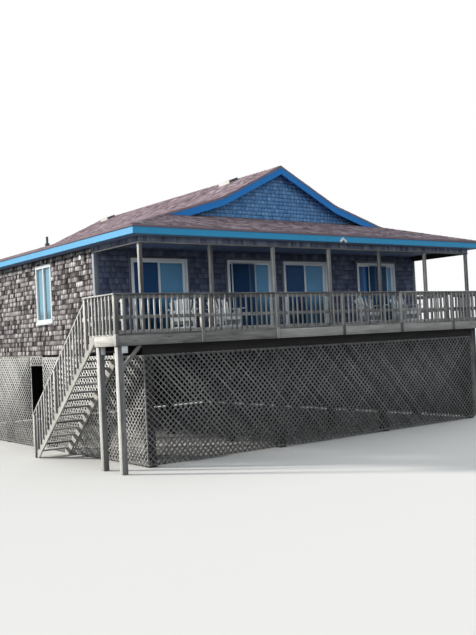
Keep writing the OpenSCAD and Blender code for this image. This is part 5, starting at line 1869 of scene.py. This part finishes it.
@dataclass(frozen=True)
class Studio:
    """Floor, light and camera. The floor fades to white over fade metres, from fade_from metres out."""

    camera_at: tuple[float, float, float] = (-9.937, -16.740, 2.945)
    yaw: float = 37.29
    pitch: float = 1.39
    roll: float = -2.76
    focal_px: float = 824.28
    picture_h: float = 635.0
    sensor: float = 24.0
    fill: float = 0.2
    fill_tint: tuple[float, float, float, float] = (0.86, 0.93, 1.0, 1.0)
    lights: tuple[Lamp, ...] = (
        Lamp("key", 4.5, (1.0, 0.97, 0.93), 5.0, (1.0, -1.16, -0.6)),
        Lamp("top", 1.4, (0.86, 0.93, 1.0), 80.0, (0.05, 0.05, -1.0)),
        Lamp("front", 1.0, (0.86, 0.93, 1.0), 50.0, (0.35, 0.9, -0.16)),
        Lamp("right", 0.5, (1.0, 1.0, 1.0), 40.0, (-0.85, -0.3, -0.45)))
    floor_z: float = -0.002
    radii: tuple[float, ...] = (14.0, 30.0, 60.0, 120.0, 300.0)
    spokes: int = 64
    fade_from: float = 26.0
    fade: float = 90.0

    def camera(self) -> None:
        """A camera whose axes come from yaw from +Y, pitch up and roll.

        Forward is (sin yaw cos pitch, cos yaw cos pitch, sin pitch); right and up turn by the roll about it.
        """
        yaw, pitch, roll = (math.radians(a) for a in (self.yaw, self.pitch, self.roll))
        forward = np.array([math.sin(yaw) * math.cos(pitch), math.cos(yaw) * math.cos(pitch), math.sin(pitch)])
        side = np.array([math.cos(yaw), -math.sin(yaw), 0.0])
        up = np.cross(side, forward)
        right = math.cos(roll) * side + math.sin(roll) * up
        top = -math.sin(roll) * side + math.cos(roll) * up
        data = bpy.data.cameras.new("camera")
        data.sensor_fit = "VERTICAL"
        data.sensor_height = data.sensor_width = self.sensor
        data.lens = self.focal_px * self.sensor / self.picture_h
        data.clip_end = 1000.0
        obj = put_in_scene("camera", data)
        axes = np.column_stack([right, top, -forward])
        place = Matrix.Translation(np.array(self.camera_at) - ORIGIN)
        obj.matrix_world = place @ Matrix(axes.tolist()).to_4x4()
        bpy.context.scene.camera = obj

    def seen(self, tree: bpy.types.NodeTree) -> Socket:
        """1 for camera, mirror and see-through rays, and 0 for light that a surface scatters."""
        path = tree.nodes.new("ShaderNodeLightPath")
        total = path.outputs["Is Camera Ray"]
        for name in ("Is Glossy Ray", "Is Transmission Ray"):
            node = tree.nodes.new("ShaderNodeMath")
            node.operation = "MAXIMUM"
            tree.links.new(total, node.inputs[0])
            tree.links.new(path.outputs[name], node.inputs[1])
            total = node.outputs[0]
        return total

    def world(self) -> None:
        """White to look at, and an even fill to light by."""
        world = bpy.data.worlds.new("studio")
        bpy.context.scene.world = world
        world.use_nodes = True
        tree = world.node_tree
        tree.nodes.clear()
        mixer = tree.nodes.new("ShaderNodeMixShader")
        tree.links.new(self.seen(tree), mixer.inputs[0])
        for i, strength, tint in ((1, self.fill, self.fill_tint), (2, 1.0, (1, 1, 1, 1))):
            node = tree.nodes.new("ShaderNodeBackground")
            node.inputs["Color"].default_value = tint
            node.inputs["Strength"].default_value = strength
            tree.links.new(node.outputs[0], mixer.inputs[i])
        out = tree.nodes.new("ShaderNodeOutputWorld")
        tree.links.new(mixer.outputs[0], out.inputs[0])

    def floor(self) -> None:
        """A wide pale disc that fades into the white background away from the house.

        Points are rings of radius r at angles a: (r cos a, r sin a).
        """
        n = self.spokes
        r, a = np.meshgrid(self.radii, np.linspace(0, 2 * math.pi, n, endpoint=False), indexing="ij")
        ring = np.stack([r * np.cos(a), r * np.sin(a), np.full(r.shape, self.floor_z)], -1).reshape(-1, 3)
        points = np.concatenate([[[0, 0, self.floor_z]], ring])
        i, base = np.arange(n), 1 + n * np.arange(len(self.radii) - 1)[:, None]
        j = (i + 1) % n
        faces = np.stack([np.zeros(n, int), 1 + i, 1 + j], -1).tolist()
        faces += np.stack([base + i, base + n + i, base + n + j, base + j], -1).reshape(-1, 4).tolist()
        mesh = bpy.data.meshes.new("floor")
        mesh.from_pydata(points.tolist(), [], faces)
        nodes = Nodes("floor", 0.9, 0.1)
        tree = nodes.tree
        nodes.colour(nodes.mix(self.seen(tree), linear("#6f6d69"), linear("#dcdad5")))
        flat = nodes.add("Mapping", Vector=nodes.objects(), Scale=(1, 1, 0))
        length = tree.nodes.new("ShaderNodeVectorMath")
        length.operation = "LENGTH"
        tree.links.new(flat.outputs[0], length.inputs[0])
        past = nodes.math("SUBTRACT", length.outputs["Value"], self.fade_from)
        share = nodes.math("MULTIPLY", nodes.math("DIVIDE", past, self.fade, clamp=True), self.seen(tree))
        white = nodes.add("Emission", Strength=1.0)
        mixer = tree.nodes.new("ShaderNodeMixShader")
        for socket, source in zip(mixer.inputs, (share, nodes.shader.outputs[0], white.outputs[0])):
            tree.links.new(source, socket)
        tree.links.new(mixer.outputs[0], tree.nodes["Material Output"].inputs[0])
        mesh.materials.append(nodes.material)
        put_in_scene("floor", mesh)

    def lamps(self) -> None:
        """A low sun from behind the left, and broad weak lights from above, the front and the right."""
        for lamp in self.lights:
            data = bpy.data.lights.new(lamp.name, "SUN")
            data.energy, data.angle, data.color = lamp.energy, math.radians(lamp.angle), lamp.tint
            obj = put_in_scene(lamp.name, data)
            way = np.array(lamp.toward) / np.linalg.norm(lamp.toward)
            side = np.cross(way, (0, 0, 1))
            side /= np.linalg.norm(side)
            axes = np.column_stack([side, np.cross(side, way), -way])
            obj.matrix_world = Matrix(axes.tolist()).to_4x4()

    def build(self) -> None:
        """Sets the whole stage."""
        bpy.context.scene.view_settings.view_transform = "Standard"
        self.world()
        self.floor()
        self.lamps()
        self.camera()


def main() -> None:
    """Builds the house's pieces in order."""
    logging.basicConfig(level=logging.INFO, format="%(message)s")
    rng = np.random.default_rng(SEED)
    palette = Palette()
    Studio().build()
    for part in (Roof, Walls, Lattice, Deck, Porch):
        part(palette, rng).build()


if __name__ == "__main__":
    main()
